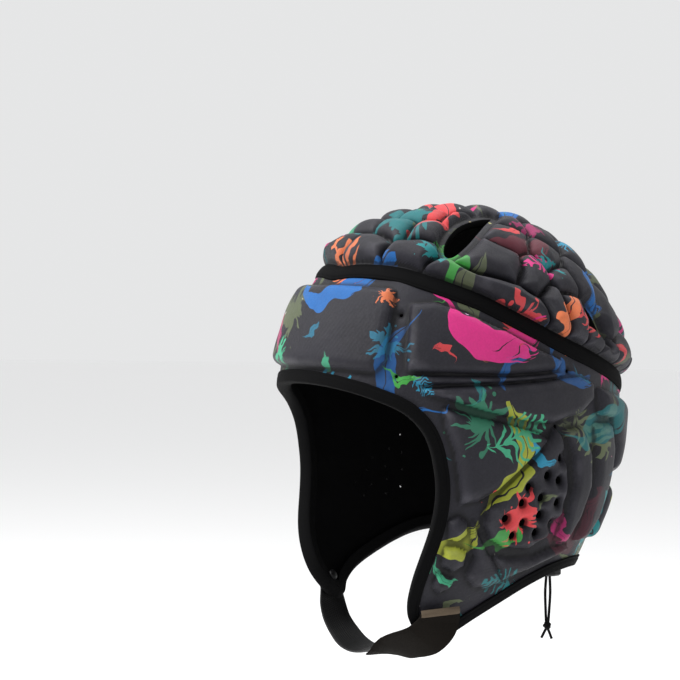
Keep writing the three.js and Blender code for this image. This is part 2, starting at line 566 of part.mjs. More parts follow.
const knot = new THREE.IcosahedronGeometry(2.4, 1);
knot.scale(1, 0.9, 0.85);
let knotSolid = solidOf(knot);
[[1.2, 0.6], [-1.2, -0.8]].forEach(([x, y]) => {
  const path = new THREE.CatmullRomCurve3([[0.4 * x, 0, -1], [x, y, -3.5], [2.6 * x, 2 * y, -7.5]].map((p) => new THREE.Vector3(...p)));
  const round = new THREE.Shape(disc(0, 0, 0.8, 0.8, 8).map(([u, v]) => new THREE.Vector2(u, v)));
  knotSolid = knotSolid.add(solidOf(new THREE.ExtrudeGeometry(round, { steps: 4, extrudePath: path })));
});
const knotMesh = knotSolid.getMesh();
const knotPoints = [];
for (let i = 0; i < knotMesh.vertProperties.length; i += 3) knotPoints.push(new THREE.Vector3().fromArray(knotMesh.vertProperties, i));
add('cord_knot', geometryOf(knotPoints, Array.from(knotMesh.triVerts)), CLOTH.black, 0.8).position.set(0, nape.y, lockFoot - 29.8);

// The origin goes to the inside of the crown's top
scrumCap.position.set(0, -CROWN_SHIFT, -(TOP - LINING_BACK));

export default scrumCap;
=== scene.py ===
# %% [markdown]
# A padded scrum cap in Blender.
#
# The real cap is two foam pads covered in printed stretch fabric: a lobed crown and a
# wrap that goes round the forehead, ears, cheeks and nape. A black tape hides the seam
# between them, a black binding closes the free edge, and a webbing strap with a tab
# fastens under the chin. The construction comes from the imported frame. This script only
# makes what the eye sees, in metres, in the frame's own coordinates.

# %% Load the frame
import bpy
import math
import numpy as np
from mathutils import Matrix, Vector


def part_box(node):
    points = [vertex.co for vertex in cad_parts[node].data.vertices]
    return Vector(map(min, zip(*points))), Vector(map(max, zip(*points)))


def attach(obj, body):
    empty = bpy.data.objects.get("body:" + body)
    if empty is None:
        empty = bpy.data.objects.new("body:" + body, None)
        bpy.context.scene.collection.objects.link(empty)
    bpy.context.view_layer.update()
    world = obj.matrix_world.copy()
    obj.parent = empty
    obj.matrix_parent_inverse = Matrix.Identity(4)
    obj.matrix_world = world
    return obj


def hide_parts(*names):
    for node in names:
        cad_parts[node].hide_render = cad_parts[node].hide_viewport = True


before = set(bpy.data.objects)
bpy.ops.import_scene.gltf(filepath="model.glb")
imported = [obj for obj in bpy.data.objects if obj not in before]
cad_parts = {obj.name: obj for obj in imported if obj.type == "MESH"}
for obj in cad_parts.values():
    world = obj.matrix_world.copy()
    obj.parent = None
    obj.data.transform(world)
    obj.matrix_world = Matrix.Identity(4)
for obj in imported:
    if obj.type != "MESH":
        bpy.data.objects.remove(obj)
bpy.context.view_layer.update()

# %% [markdown]
# The camera comes first. The photo looks at the wearer's left cheek, slightly from above,
# from a little over a metre. The head's middle at eye level is right of and below the
# picture's middle, so the camera is turned away from it by that many pixels. Turning
# the camera keeps the lens free of shift, which other views would inherit.

# %% Camera
MM = 0.001
SEAT_ABOVE_EYES = np.array([0, 1.5, 101.7])  # the frame's origin, seen from eye level, mm
AZIMUTH, ELEVATION, ROLL = 55.0, 3.0, -1.0
CAMERA_DISTANCE = 1300.0
PIXELS_PER_MM = 1.75
EYE_LEVEL_PIXEL = (447, 400)
FRAME_PIXELS = 680


def unit(v):
    return v / np.linalg.norm(v, axis=-1, keepdims=True)


def stand(thing, sideways, upward, backward, at):
    """Poses a camera or light, which both look along their own minus z."""
    pose = np.eye(4)
    pose[:3] = np.stack([sideways, upward, backward, at], 1)
    thing.matrix_world = pose.T


def add_object(name, data):
    made = bpy.data.objects.new(name, data)
    bpy.context.scene.collection.objects.link(made)
    return made


az, el, ro = np.radians([AZIMUTH, ELEVATION, ROLL])
back = np.array([math.sin(az) * math.cos(el), -math.cos(az) * math.cos(el), math.sin(el)])
right = np.array([math.cos(az), math.sin(az), 0])
up = np.cross(back, right)
rolled_right = right * math.cos(ro) - up * math.sin(ro)
rolled_up = right * math.sin(ro) + up * math.cos(ro)
focal_pixels = PIXELS_PER_MM * CAMERA_DISTANCE
aside = EYE_LEVEL_PIXEL[0] - FRAME_PIXELS / 2
below = EYE_LEVEL_PIXEL[1] - FRAME_PIXELS / 2
look_back = unit(back * focal_pixels + rolled_right * aside - rolled_up * below)
look_right = unit(rolled_right - look_back * rolled_right.dot(look_back))
look_up = np.cross(look_back, look_right)

camera_data = bpy.data.cameras.new("camera")
camera_data.lens = camera_data.sensor_width * focal_pixels / FRAME_PIXELS
camera = add_object("camera", camera_data)
stand(camera, look_right, look_up, look_back, (back * CAMERA_DISTANCE - SEAT_ABOVE_EYES) * MM)
bpy.context.scene.camera = camera
print("lens mm:", round(camera_data.lens, 1))

# %% [markdown]
# A few helpers serve every piece. One turns arrays of points and faces into a smooth mesh
# object that rides on the frame's only body. One stores where each point lies in the
# flat cloth, so that weaves follow the cut. One lists the faces of a tube, and one draws
# a smooth curve through a few points. Numpy keeps the long point lists quick.

# %% Helpers for meshes and curves
def make_mesh(name, points, faces, replaces=()):
    """Points are in mm from the eye-level middle, as the CAD's own tables are."""
    mesh = bpy.data.meshes.new(name)
    mesh.from_pydata(((np.asarray(points) - SEAT_ABOVE_EYES) * MM).tolist(), [], faces)
    mesh.polygons.foreach_set("use_smooth", [True] * len(mesh.polygons))
    piece = add_object(name, mesh)
    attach(piece, "root")
    if replaces:
        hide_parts(*replaces)
    print(name, len(mesh.vertices), "points", len(mesh.polygons), "faces")
    return piece


def corner_points(mesh):
    """The point number of every face corner, which is how Blender stores UV maps."""
    numbers = np.empty(len(mesh.loops), int)
    mesh.loops.foreach_get("vertex_index", numbers)
    return numbers


def lay_flat(piece, flat):
    """Rows of where each point lies in the flat cloth, in mm, kept as a UV map in metres."""
    layer = piece.data.uv_layers.new(name="flat")
    layer.data.foreach_set("uv", (flat * MM)[corner_points(piece.data)].ravel())


def tube_faces(rings, around, closed=False):
    """Faces between rings of points, each with that many points around."""
    return [[i * around + k, (i + 1) % rings * around + k,
             (i + 1) % rings * around + (k + 1) % around, i * around + (k + 1) % around]
            for i in range(rings if closed else rings - 1) for k in range(around)]


def curve_through(rows, count):
    """A centripetal Catmull-Rom curve through the rows, at evenly spread parameters."""
    rows = np.asarray(rows, float)
    rows = np.vstack([2 * rows[0] - rows[1], rows, 2 * rows[-1] - rows[-2]])
    out = []
    for t in np.linspace(0, len(rows) - 3, count):
        i = min(int(t), len(rows) - 4)
        p = rows[i:i + 4]
        gaps = np.linalg.norm(np.diff(p[:, :3], axis=0), axis=1)
        knots = np.concatenate([[0], np.cumsum(gaps ** 0.5)])
        s = knots[1] + (t - i) * (knots[2] - knots[1])
        for depth in (1, 2, 3):
            p = [((knots[k + depth] - s) * p[k] + (s - knots[k]) * p[k + 1])
                 / (knots[k + depth] - knots[k]) for k in range(4 - depth)]
        out.append(p[0])
    return np.array(out)


# %% [markdown]
# The draw cord tightens the nape. It leaves a small toggle, hangs as two thin braids
# for about three centimetres and ends in one knot with two short tips. A cord is best
# made as a curve with a round bevel, because its true length is then the curve's own.
# The points repeat the CAD's, measured from the toggle's underside.

# %% Draw cords and their knot
CORD_DIAMETER = 1.6
lock_low, lock_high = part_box("cord_lock")
foot = np.array([(lock_low[0] + lock_high[0]) / 2, (lock_low[1] + lock_high[1]) / 2, lock_low[2]]) / MM
KNOT_DROP = 29.8
CORD_ROUTES = {
    "draw_cord_left": [(1.6, 0, -0.3), (1.9, 0.4, -10), (1.5, 0.2, -20), (1.1, 0, -27.2),
                       (0.5, 0, -30.8), (1.2, 0.6, -33.3), (3.1, 1.2, -37.3)],
    "draw_cord_right": [(-1.6, 0, -0.3), (-1.9, -0.4, -10), (-1.5, -0.2, -20), (-1.1, 0, -27.2),
                        (-0.5, 0, -30.8), (-1.2, -0.8, -33.3), (-3.1, -1.6, -37.3)],
}


def make_cord(name, route):
    points = (curve_through(route, 36) + foot) * MM
    data = bpy.data.curves.new(name, "CURVE")
    data.dimensions = "3D"
    data.bevel_depth = 1.0  # times each point's own radius, which also keeps the curve's box tight
    data.bevel_resolution = 4
    data.use_fill_caps = True
    spline = data.splines.new("POLY")
    spline.points.add(len(points) - 1)
    spline.points.foreach_set("co", np.hstack([points, np.ones((len(points), 1))]).ravel())
    spline.points.foreach_set("radius", np.full(len(points), CORD_DIAMETER * MM / 2))
    piece = add_object(name + "_braid", data)
    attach(piece, "root")
    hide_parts(name)
    length = np.linalg.norm(np.diff(points, axis=0), axis=1).sum()
    print(name, "length mm:", round(length / MM, 1))
    return piece, points[0], float(length)


cords = {name: make_cord(name, route) for name, route in CORD_ROUTES.items()}

# The knot: a lumpy ball, wound by a shallow spiral
KNOT_RADII = np.array([2.5, 2.2, 2.3])
turns, rings = 32, 20
a, b = np.meshgrid(2 * math.pi * np.arange(turns) / turns, math.pi * np.arange(rings + 1) / rings)
lump = 1 + 0.12 * np.sin(3 * a + 5 * b) * np.sin(b)
ball = np.stack([np.sin(b) * np.cos(a), np.sin(b) * np.sin(a), np.cos(b)], -1)
knot_points = (KNOT_RADII * lump[..., None] * ball).reshape(-1, 3)
knot_faces = tube_faces(rings + 1, turns)
knot_at = foot + SEAT_ABOVE_EYES + np.array([0, 0, -KNOT_DROP])
knot = make_mesh("knot", knot_points + knot_at, knot_faces, ["cord_knot"])

# %% [markdown]
# The head form carries everything. A person could sculpt it, but a formula keeps the
# pads, tape and binding on one and the same surface. Two angles name a point: "around"
# from the middle of the forehead over the wearer's left ear to the nape, and "up" from
# eye level to the crown. The numbers are the CAD's.

# %% Head form
HALF_WIDTH, FRONT, BACK, TOP = 87, 104, 109, 112.5
DROP_SIDE, DROP_FRONT, DROP_BACK = 168, 160, 142
UPRIGHT_POWER, PLAN_POWER = 2.12, 2.2
CROWN_SHIFT, NAPE_TAPER = 1.5, 0.001
FLAP_FLARE, RIGHT_LIFT = 10, 13
FLANGE, LINING_FRONT, LINING_BACK = 6.0, 9.8, 10.8


def smooth_step(x, low, high):
    t = np.clip((x - low) / (high - low), 0, 1)
    return t * t * (3 - 2 * t)


def form_point(around, up):
    around, up = np.broadcast_arrays(np.asarray(around, float), np.asarray(up, float))
    s, c = np.sin(np.radians(around)), np.cos(np.radians(around))
    plan = (np.abs(s / HALF_WIDTH) ** PLAN_POWER
            + np.abs(c / np.where(c > 0, FRONT, BACK)) ** PLAN_POWER) ** (-1 / PLAN_POWER)
    tall = np.where(up > 0, TOP, DROP_SIDE * s * s + np.where(c > 0, DROP_FRONT, DROP_BACK) * c * c)
    cu, su = np.cos(np.radians(up)), np.sin(np.radians(up))
    r = (np.abs(cu / plan) ** UPRIGHT_POWER + np.abs(su / tall) ** UPRIGHT_POWER) ** (-1 / UPRIGHT_POWER)
    x, y, z = r * cu * s, -r * cu * c, r * su
    y = np.where(z > 0, y + CROWN_SHIFT * (z / TOP) ** 2, y)
    under = np.maximum(-z, 0)
    y = np.where(y > 0, y * (1 - NAPE_TAPER * under * under / (under + 15)), y)
    low, front = smooth_step(under, 0, 130), smooth_step(c, -0.2, 0.75)
    x = x + np.sign(s) * 0.82 * FLAP_FLARE * low * front
    y = y - 0.57 * FLAP_FLARE * low * front
    z = z + RIGHT_LIFT * low * smooth_step(-s, 0, 0.7)
    return np.stack([x, y, z], -1)


SIDE_X, SIDE_Y, CROWN_SCALE = 1.6, 1.9, 1.85  # mm of flat pattern for each degree


def side_chart(x, y):
    return form_point(np.asarray(x) / SIDE_X, np.asarray(y) / SIDE_Y)


def crown_chart(x, y):
    return form_point(np.degrees(np.arctan2(x, -np.asarray(y))), 90 - np.hypot(x, y) / CROWN_SCALE)


def skin(chart, x, y, depth):
    """The point that lies that many mm under the form, straight in from its surface."""
    point = chart(x, y)
    sideways = chart(x + 0.5, y) - chart(x - 0.5, y)
    upward = chart(x, y + 0.5) - chart(x, y - 0.5)
    normal = unit(np.cross(sideways, upward))
    normal = np.where((normal * point).sum(-1, keepdims=True) < 0, -normal, normal)
    return point - normal * np.broadcast_to(depth, np.shape(x))[..., None]


print("ear to ear mm:", 2 * HALF_WIDTH, "brow to nape mm:", FRONT + BACK)

# %% [markdown]
# Two lines divide the cap: the seam under the tape, and the free edge that runs from the
# brow down the face, round each flap and along the neck. Each is a short table of angles
# for the wearer's left half, with a smooth curve through it.

# %% Seam line and free edge
TAPE_LINE = [  # around, up
    (0, 43), (10, 43.8), (21, 44), (33, 43.6), (46, 41.7), (60, 39), (70, 36.6), (80, 33.2), (90, 29.4),
    (100, 25), (110, 20.8), (120, 16.8), (130, 12.8), (141, 9.2), (155, 5.6), (168, 3.6), (180, 3),
]
FREE_EDGE = [  # around, up
    (0, 6), (12, 5.5), (23, 4), (33, 1.4), (42, -2.4), (48.4, -9), (51.8, -19), (52.6, -28), (50.4, -37),
    (46, -44.6), (41, -52), (38.6, -58), (42, -63.4), (50, -66.4), (60, -64.2), (71, -61.4), (84, -58.4),
    (98, -55), (114, -51.6), (131, -49.6), (155, -49.4), (180, -49.8),
]
TAPE_HALF, BINDING = 5.2, 8.0


def whole_line(half, count):
    """The left half and its mirror image as one closed line of evenly spaced angles."""
    half = np.array(half, float)
    mirror = half[::-1] * [-1, 1]
    loop = np.vstack([mirror[-3:-1], half, (mirror[1:3] + [360, 0])])
    fine = curve_through(loop * [SIDE_X, SIDE_Y], 2400) / [SIDE_X, SIDE_Y]
    fine = fine[(fine[:, 0] >= 0) & (fine[:, 0] <= 180)]
    run = np.concatenate([[0], np.cumsum(np.linalg.norm(np.diff(form_point(*fine.T), axis=0), axis=1))])
    even = np.linspace(0, run[-1], count // 2 + 1)
    left = np.stack([np.interp(even, run, fine[:, 0]), np.interp(even, run, fine[:, 1])], 1)
    left[0, 0], left[-1, 0] = 0, 180
    return np.vstack([left, left[-2:0:-1] * [-1, 1]])


def beside(line, distance, spread=0):
    """The line moved sideways over the form, in real mm. Spread rounds off tight corners."""
    a, u = line.T
    along = unit(form_point(*np.roll(line, -1, 0).T) - form_point(*np.roll(line, 1, 0).T))
    da = (form_point(a + 0.1, u) - form_point(a - 0.1, u)) / 0.2
    du = (form_point(a, u + 0.1) - form_point(a, u - 0.1)) / 0.2
    across = np.cross(unit(np.cross(da, du)), along)
    for _ in range(spread):
        across = unit(across + 0.5 * (np.roll(across, 1, 0) + np.roll(across, -1, 0)))
    g11, g12, g22 = (da * da).sum(-1), (da * du).sum(-1), (du * du).sum(-1)
    b1, b2 = (across * da).sum(-1), (across * du).sum(-1)
    det = g11 * g22 - g12 * g12
    return np.stack([a + distance * (b1 * g22 - b2 * g12) / det,
                     u + distance * (b2 * g11 - b1 * g12) / det], 1)


tape_line = whole_line(TAPE_LINE, 720)
free_edge = whole_line(FREE_EDGE, 960)
print("seam mm:", round(np.linalg.norm(np.diff(form_point(*tape_line.T), axis=0), axis=1).sum()))

# %% [markdown]
# Padding is described flat, as a pattern cutter would. A crown lobe is the land round a
# short line, and the creases run halfway between neighbours. A wrap pad has an outline,
# a height and a round-over. The pillow curve is a quarter circle, steep at the crease
# and level on top, which is how foam looks when fabric is heat-pressed round it.

# %% Pillow curve and distances
def pillow(room, wide):
    return np.sqrt(1 - (1 - np.clip(room / wide, 0, 1)) ** 2)


def to_segment(x, y, ax, ay, bx, by):
    dx, dy = bx - ax, by - ay
    t = np.clip(((x - ax) * dx + (y - ay) * dy) / (dx * dx + dy * dy + 1e-9), 0, 1)
    return np.hypot(x - ax - t * dx, y - ay - t * dy)


def inside(x, y, outline):
    """Distance in from a closed outline, negative outside it."""
    near = np.full(np.shape(x), 1e9)
    odd = np.zeros(np.shape(x), bool)
    for (ax, ay), (bx, by) in zip(outline, np.roll(outline, -1, 0)):
        near = np.minimum(near, to_segment(x, y, ax, ay, bx, by))
        if ay != by:
            odd ^= ((ay > y) != (by > y)) & (x < (bx - ax) * (y - ay) / (by - ay) + ax)
    return np.where(odd, near, -near)


# %% [markdown]
# The crown's creases come from distances alone: a point belongs to the lobe whose line is
# nearest, and sinks as the second nearest gets as close. Each vent is a leaf with a
# round end and a tip, and the pads stop short of it. The tables hold the left half.

# %% Crown lobes and vents
CROWN_LOBES = [  # name, x, y, to x, to y
    ("brow_middle", 13, -72, 13, -66), ("brow_outer", 44, -60, 46, -55),
    ("second_middle", 15, -49, 18, -47), ("second_outer", 31, -40, 34, -37),
    ("third", 15, -29, 17, -26), ("vent_inner", 31, -17, 28, -10),
    ("top_middle", 11, -8, 13, -7), ("top_rear", 11, 12, 13, 13), ("vent_tip", 30, 15, 33, 17),
    ("kite", 64, -27, 69, -3), ("behind_vent", 47, 9, 52, 6),
    ("tape_roll", 66, -54, 84, -38), ("tape_roll", 84, -38, 98, -17), ("tape_roll", 98, -17, 107, 6),
    ("square", 75, 13, 79, 12), ("round", 58, 30, 62, 31), ("bead", 73, 38, 77, 40),
    ("upright_a", 96, 26, 109, 29), ("upright_b", 92, 43, 112, 48), ("crest_a", 34, 37, 38, 38),
    ("crest_b", 12, 33, 14, 34), ("crest_c", 13, 54, 16, 56), ("crest_d", 38, 60, 42, 62),
    ("crest_e", 64, 56, 68, 60), ("behind_rear", 68, 82, 74, 92), ("tape_bead_a", 110, 68, 114, 66),
    ("tape_bead_b", 106, 88, 104, 96), ("low_a", 14, 78, 16, 80), ("low_b", 40, 84, 44, 88),
    ("low_c", 15, 102, 17, 106), ("low_d", 44, 110, 50, 114), ("low_e", 76, 112, 84, 108),
    ("nape_a", 18, 130, 20, 140), ("nape_b", 50, 136, 62, 132),
]
VENTS = [  # x, y of the round end, x, y of the tip, half width
    (56, -41, 22, 12, 6.4), (87, 56, 96, 86, 5.0),
]

VENT_HEM = 4  # mm of flat fabric round each vent
CROWN_ROUNDING = 9.5
TAPE_SWELL, SWELL_REACH = 4, 48  # the lobes grow thicker near the tape
CREASE_DEPTH, CREASE_WIDTH = 0.9, 0.8


def leaf(vent, steps=40):
    x, y, tip_x, tip_y, half = vent
    length = math.hypot(tip_x - x, tip_y - y)
    axis = np.array([tip_x - x, tip_y - y]) / length
    normal = np.array([-axis[1], axis[0]])
    outline = []
    for i in range(2 * steps):
        t = i / steps if i <= steps else (2 * steps - i) / steps
        s = 1 - math.cos(t * math.pi / 2)
        width = half * 2.6 * math.sqrt(s) * (1 - s) * (1 if i <= steps else -1)
        outline.append(np.array([x, y]) + axis * s * length + normal * width)
    return np.array(outline)


tape_flat = tape_line[tape_line[:, 0] >= 0]


def crown_depth(x, y):
    ax = np.abs(x)
    near = {}
    for name, x0, y0, x1, y1 in CROWN_LOBES:
        near[name] = np.minimum(near.get(name, 1e9), to_segment(ax, y, x0, y0, x1, y1))
    first, second = np.partition(np.array(list(near.values())), 1, axis=0)[:2]
    around = np.degrees(np.arctan2(ax, -y))
    tape_up = np.interp(around, tape_flat[:, 0], tape_flat[:, 1])
    to_tape = (90 - tape_up) * CROWN_SCALE - np.hypot(x, y) - TAPE_HALF - 1
    to_vent = np.minimum(*[-inside(ax, y, leaf(v)) - VENT_HEM for v in VENTS])
    to_crease = (second - first) / 2
    room = np.minimum.reduce([to_crease - 0.4, ax - 0.5, to_tape * 0.85, to_vent])
    swell = TAPE_SWELL * np.maximum(0, 1 - to_tape / SWELL_REACH)
    crease = CREASE_DEPTH * np.exp(-np.maximum(to_crease, 0) / CREASE_WIDTH) * (to_vent > 0)
    return FLANGE + crease - (FLANGE + swell) * pillow(room, CROWN_ROUNDING)


# %% [markdown]
# The wrap's pads are drawn one by one, because each has a shape of its own: rolls above
# the ear, a round guard with sound holes over it, two crescents behind it, and beads
# down the cheek. Where outlines come close, the flat flange between them shows.

# %% Wrap pads and holes
WRAP_PADS = [  # name, height, round-over, outline as around, up
    ("forehead", 5.6, 6, [
        (-34, 38), (34, 38), (35, 30), (34.5, 15), (31, 10.8), (20, 11.4), (-20, 11.4), (-31, 10.8),
        (-34.5, 15), (-35, 30)]),
    ("wedge", 5.4, 6, [
        (41, 33.5), (50, 35), (62, 32.5), (78, 27.5), (92, 21.5), (104, 17), (101, 13.5), (80, 12.4),
        (60, 12), (42, 11.8)]),
    ("strip", 3, 2, [
        (43, 10.6), (60, 11), (80, 11.4), (100, 12.5), (108, 12.6), (100, 10.9), (80, 9.6), (60, 8.4),
        (46, 8)]),
    ("roll", 6, 7, [
        (46, 6.2), (60, 7.6), (80, 8.8), (100, 10.2), (112, 10.8), (119, 8.5), (119.5, 2.5), (112, -2.6),
        (98, -5.6), (86, -4.4), (70, -1), (58, 2.4), (50, 4.4)]),
    ("cheekbone", 5.2, 8, [
        (54, 0.5), (64, -2.2), (78, -5.4), (92, -9), (97, -11.4), (92, -16), (84, -22), (76, -27.4),
        (68, -30), (61, -30.5), (60.5, -24), (58.5, -14), (55.5, -7)]),
    ("ear_guard", 5.6, 6, [
        (100, -7), (103, -10), (106, -17), (108.6, -26), (108, -35), (102, -42), (92, -45), (81, -44),
        (73.5, -41), (70.5, -36.5), (72, -32), (79, -26.6), (90, -19)]),
    ("crescent", 5.6, 5, [
        (104, -8), (113, -7), (120, -16), (122.5, -26), (120.5, -36), (114, -43), (108.5, -43),
        (111, -35), (112, -26), (109.4, -16)]),
    ("lower_roll", 4.4, 4, [
        (76, -45.6), (84, -47), (96, -47.4), (106, -45.2), (114, -43.8), (120, -43.6), (118, -45),
        (106, -48), (94, -50.6), (82, -52.4)]),
    ("outer_roll", 5.6, 7, [
        (122, -6), (132, -6), (138, -14), (139.5, -26), (137, -36), (130, -41.6), (123, -42.4),
        (124.6, -34), (125, -25), (124, -15)]),
    ("back_upper", 5.6, 7, [
        (123, 6.5), (140, 2.6), (155, -1), (168, -2.8), (178.6, -3.2), (178.6, -22.6), (160, -22.6),
        (143.5, -21), (140.5, -13), (134, -4.4), (124, -3)]),
    ("back_lower", 5.6, 7, [
        (143.5, -25), (160, -26.4), (178.6, -26.6), (178.6, -41.6), (160, -41.4), (140, -41),
        (141.5, -34)]),
    ("flap", 5.2, 8, [
        (66, -33.6), (69, -39.5), (73, -44), (79, -48.6), (82, -52.6), (75, -53.6), (69, -52.6),
        (66, -50.8), (65, -49.6), (67.5, -45), (66.5, -39)]),
    ("bead_a", 5.4, 7, [
        (57, -34.5), (61, -33.4), (64.4, -35.6), (64.6, -39), (61, -40.6), (57.4, -39.4)]),
    ("bead_b", 5.4, 7, [
        (56, -41.6), (60.4, -41.6), (64.6, -43.4), (64, -47), (59.4, -48.2), (54.6, -46)]),
    ("bead_c", 5.4, 7, [
        (53.4, -47.8), (58, -49.2), (60.6, -50.2), (58, -52), (53.6, -52.8), (50.6, -51)]),
]
WRAP_HOLES = [  # around, up, radius
    (89, -27, 2.1), (97.5, -23.5, 2.1), (86.5, -31.8, 2.1), (95.5, -30.5, 2.1), (80, -36, 2.1),
    (88, -37.6, 2.1), (103, -38, 2.1), (95, -40.6, 2.1), (103.4, -17.6, 2.1), (103.6, -25, 2.1),
    (104, -31.8, 2.1), (96, -35.6, 2.1), (84, -41, 2.1), (38, 30, 1.1), (38.5, 10, 1.1),
    (107.5, 13, 1.1), (101.5, -6.8, 1.1),
]
SOUND_HOLE = 2.0  # mm of radius, above which a hole sits in a deep dimple
DEEP_DIMPLE, SHALLOW_DIMPLE = 6.2, 1.4


def rippled(depth, chart, size, amount):
    """That depth with a gentle unevenness, so that no pad is machine-perfect."""
    def uneven(x, y):
        px, py, pz = np.moveaxis(chart(x, y) / size, -1, 0)
        fold = np.sin(px * 1.7 + 2.1 * np.sin(py)) * np.sin(py * 1.3 + pz)
        return depth(x, y) + amount * (fold + 0.6 * np.sin(2.3 * pz + 1.9 * px + 0.7))
    return uneven


def near_line(points, line_points):
    """Shortest distance from each point to a line given by many points."""
    best = np.full(len(points), 1e9)
    for block in np.array_split(line_points, 24):
        best = np.minimum(best, np.linalg.norm(points[:, None] - block[None], axis=-1).min(1))
    return best


def wrap_depth(x, y):
    ax = np.abs(x)
    base = side_chart(ax, y)
    free = near_line(base.reshape(-1, 3), form_point(*free_edge[:480:2].T)).reshape(ax.shape) - BINDING - 1
    rise = np.zeros_like(ax)
    for name, height, soft, outline in WRAP_PADS:
        room = np.minimum(inside(ax, y, np.array(outline) * [SIDE_X, SIDE_Y]), free)
        rise = np.maximum(rise, height * pillow(room, soft))
    for around, up_angle, radius in WRAP_HOLES:
        away = np.linalg.norm(base - form_point(around, up_angle), axis=-1)
        dimple = DEEP_DIMPLE if radius > SOUND_HOLE else SHALLOW_DIMPLE
        rise = rise - dimple * np.exp(-((away / (radius + 1.4)) ** 2))
    return FLANGE - rise


print(len(CROWN_LOBES), "lobe lines,", len(WRAP_PADS), "wrap pads")

# %% [markdown]
# A panel is a fine grid laid over the flat pattern, lifted to its depth and bent round
# the form. Squares that fall in a vent or hole are left out, and the corners they leave
# are pulled on to the true outline, so the opening is smooth without a boolean cut. A
# short wall goes from each opening down to the lining.

# %% Panel builder
def valleys(depth, rounds):
    """How many mm each point lies below its surroundings: creases above 0, crests below."""
    level = depth.copy()
    for _ in range(rounds * 2):
        for axis in (0, 1):
            level = (level + np.roll(level, 1, axis) + np.roll(level, -1, axis)) / 3
    return depth - level


def cut_openings(quads, kept, flat_x, flat_y, openings, step):
    """Leaves out squares in each opening and pulls the corners they leave to its outline."""
    mid_x, mid_y = flat_x[quads].mean(1), flat_y[quads].mean(1)
    edges = []
    for outline in openings:
        low, high = outline.min(0) - 4 * step, outline.max(0) + 4 * step
        nearby = (mid_x > low[0]) & (mid_x < high[0]) & (mid_y > low[1]) & (mid_y < high[1])
        gone = np.zeros(len(quads), bool)
        gone[nearby] = inside(mid_x[nearby], mid_y[nearby], outline) > 0
        rim = np.intersect1d(quads[gone & kept], quads[nearby & ~gone])
        closed = np.vstack([outline, outline[:1]])
        dense = np.vstack([np.linspace(p, q, 9)[:-1] for p, q in zip(closed[:-1], closed[1:])])
        away = np.hypot(flat_x[rim][:, None] - dense[:, 0], flat_y[rim][:, None] - dense[:, 1])
        flat_x[rim], flat_y[rim] = dense[away.argmin(1)].T
        on_rim = np.zeros(len(flat_x), bool)
        on_rim[rim] = True
        kept &= ~gone
        for q in quads[nearby & kept]:
            edges += [(p, r) for p, r in zip(q, np.roll(q, -1)) if on_rim[p] and on_rim[r]]
    quads = quads[kept]
    touching = quads[np.isin(quads, [p for p, _ in edges]).any(1)]
    sides = {(p, r) for q in touching for p, r in zip(q, np.roll(q, -1))}
    return quads, [(p, r) for p, r in edges if (r, p) not in sides]


def make_panel(name, chart, box, step, depth, keep, openings, replaces, wall_to=None,
               wrap_round=False):
    x0, x1, y0, y1 = box
    nx, ny = round((x1 - x0) / step), round((y1 - y0) / step)
    gx, gy = np.meshgrid(np.linspace(x0, x1, nx + 1), np.linspace(y0, y1, ny + 1))
    corner = np.arange(gx.size).reshape(gx.shape)
    quads = np.stack([corner[:-1, :-1], corner[:-1, 1:], corner[1:, 1:], corner[1:, :-1]], -1)
    quads = quads.reshape(-1, 4)
    flat_x, flat_y = gx.ravel().copy(), gy.ravel().copy()
    kept = keep(flat_x[quads].mean(1), flat_y[quads].mean(1))
    quads, walls = cut_openings(quads, kept, flat_x, flat_y, openings, step)
    if wrap_round:
        quads = np.where(quads % (nx + 1) == nx, quads - nx, quads)
    deep_by = depth(flat_x, flat_y)
    valley = valleys(deep_by.reshape(gx.shape), round(5 / step)).ravel()
    points = skin(chart, flat_x, flat_y, deep_by)
    base = chart(flat_x, flat_y)
    faces = quads.tolist()
    if wall_to is not None and walls:
        rim = sorted({p for edge in walls for p in edge})
        deep = {p: len(points) + i for i, p in enumerate(rim)}
        points = np.vstack([points, skin(chart, flat_x[rim], flat_y[rim], wall_to)])
        base = np.vstack([base, base[rim]])
        flat_x, flat_y = np.append(flat_x, flat_x[rim]), np.append(flat_y, flat_y[rim])
        valley = np.append(valley, valley[rim])
        faces += [[r, p, deep[p], deep[r]] for p, r in walls]
    used, compact = np.unique(np.array(faces), return_inverse=True)
    piece = make_mesh(name, points[used], compact.reshape(-1, 4).tolist(), replaces)
    piece["walls"] = len(walls)
    lay_flat(piece, np.stack([flat_x, flat_y], 1)[used])
    cloth = piece.data.attributes.new("cloth", "FLOAT_VECTOR", "POINT")
    cloth.data.foreach_set("vector", (base[used] * MM).ravel())
    # The valley depth also drives the painted crease shade and the painted crest highlight of the printed
    # fabric.
    piece.data.attributes.new("valley", "FLOAT", "POINT").data.foreach_set("value", valley[used])
    return piece


def seam_room(x, y):
    """How far below the seam a point of the side chart lies, in degrees."""
    return np.interp(np.abs(x) / SIDE_X, tape_flat[:, 0], tape_flat[:, 1]) - y / SIDE_Y


edge_loop = np.vstack([free_edge[:481], [[180, 60], [0, 60]]]) * [SIDE_X, SIDE_Y]

# %% [markdown]
# The crown panel: about thirty lobes a side round two pairs of leaf-shaped vents.

# %% Crown panel and its lining
vent_outlines = [leaf(v) * [flip, 1] for v in VENTS for flip in (1, -1)]
CROWN_BOX = (-130, 130, -94, 166)
PAD_GRID, LINING_GRID = 1.0, 2.0  # mm of flat pattern between points


def under_tape(x, y, reach):
    around = np.degrees(np.arctan2(np.abs(x), -y))
    edge = (90 - np.interp(around, tape_flat[:, 0], tape_flat[:, 1])) * CROWN_SCALE
    return np.hypot(x, y) < edge + reach


def lining_depth(x, y):
    return LINING_BACK


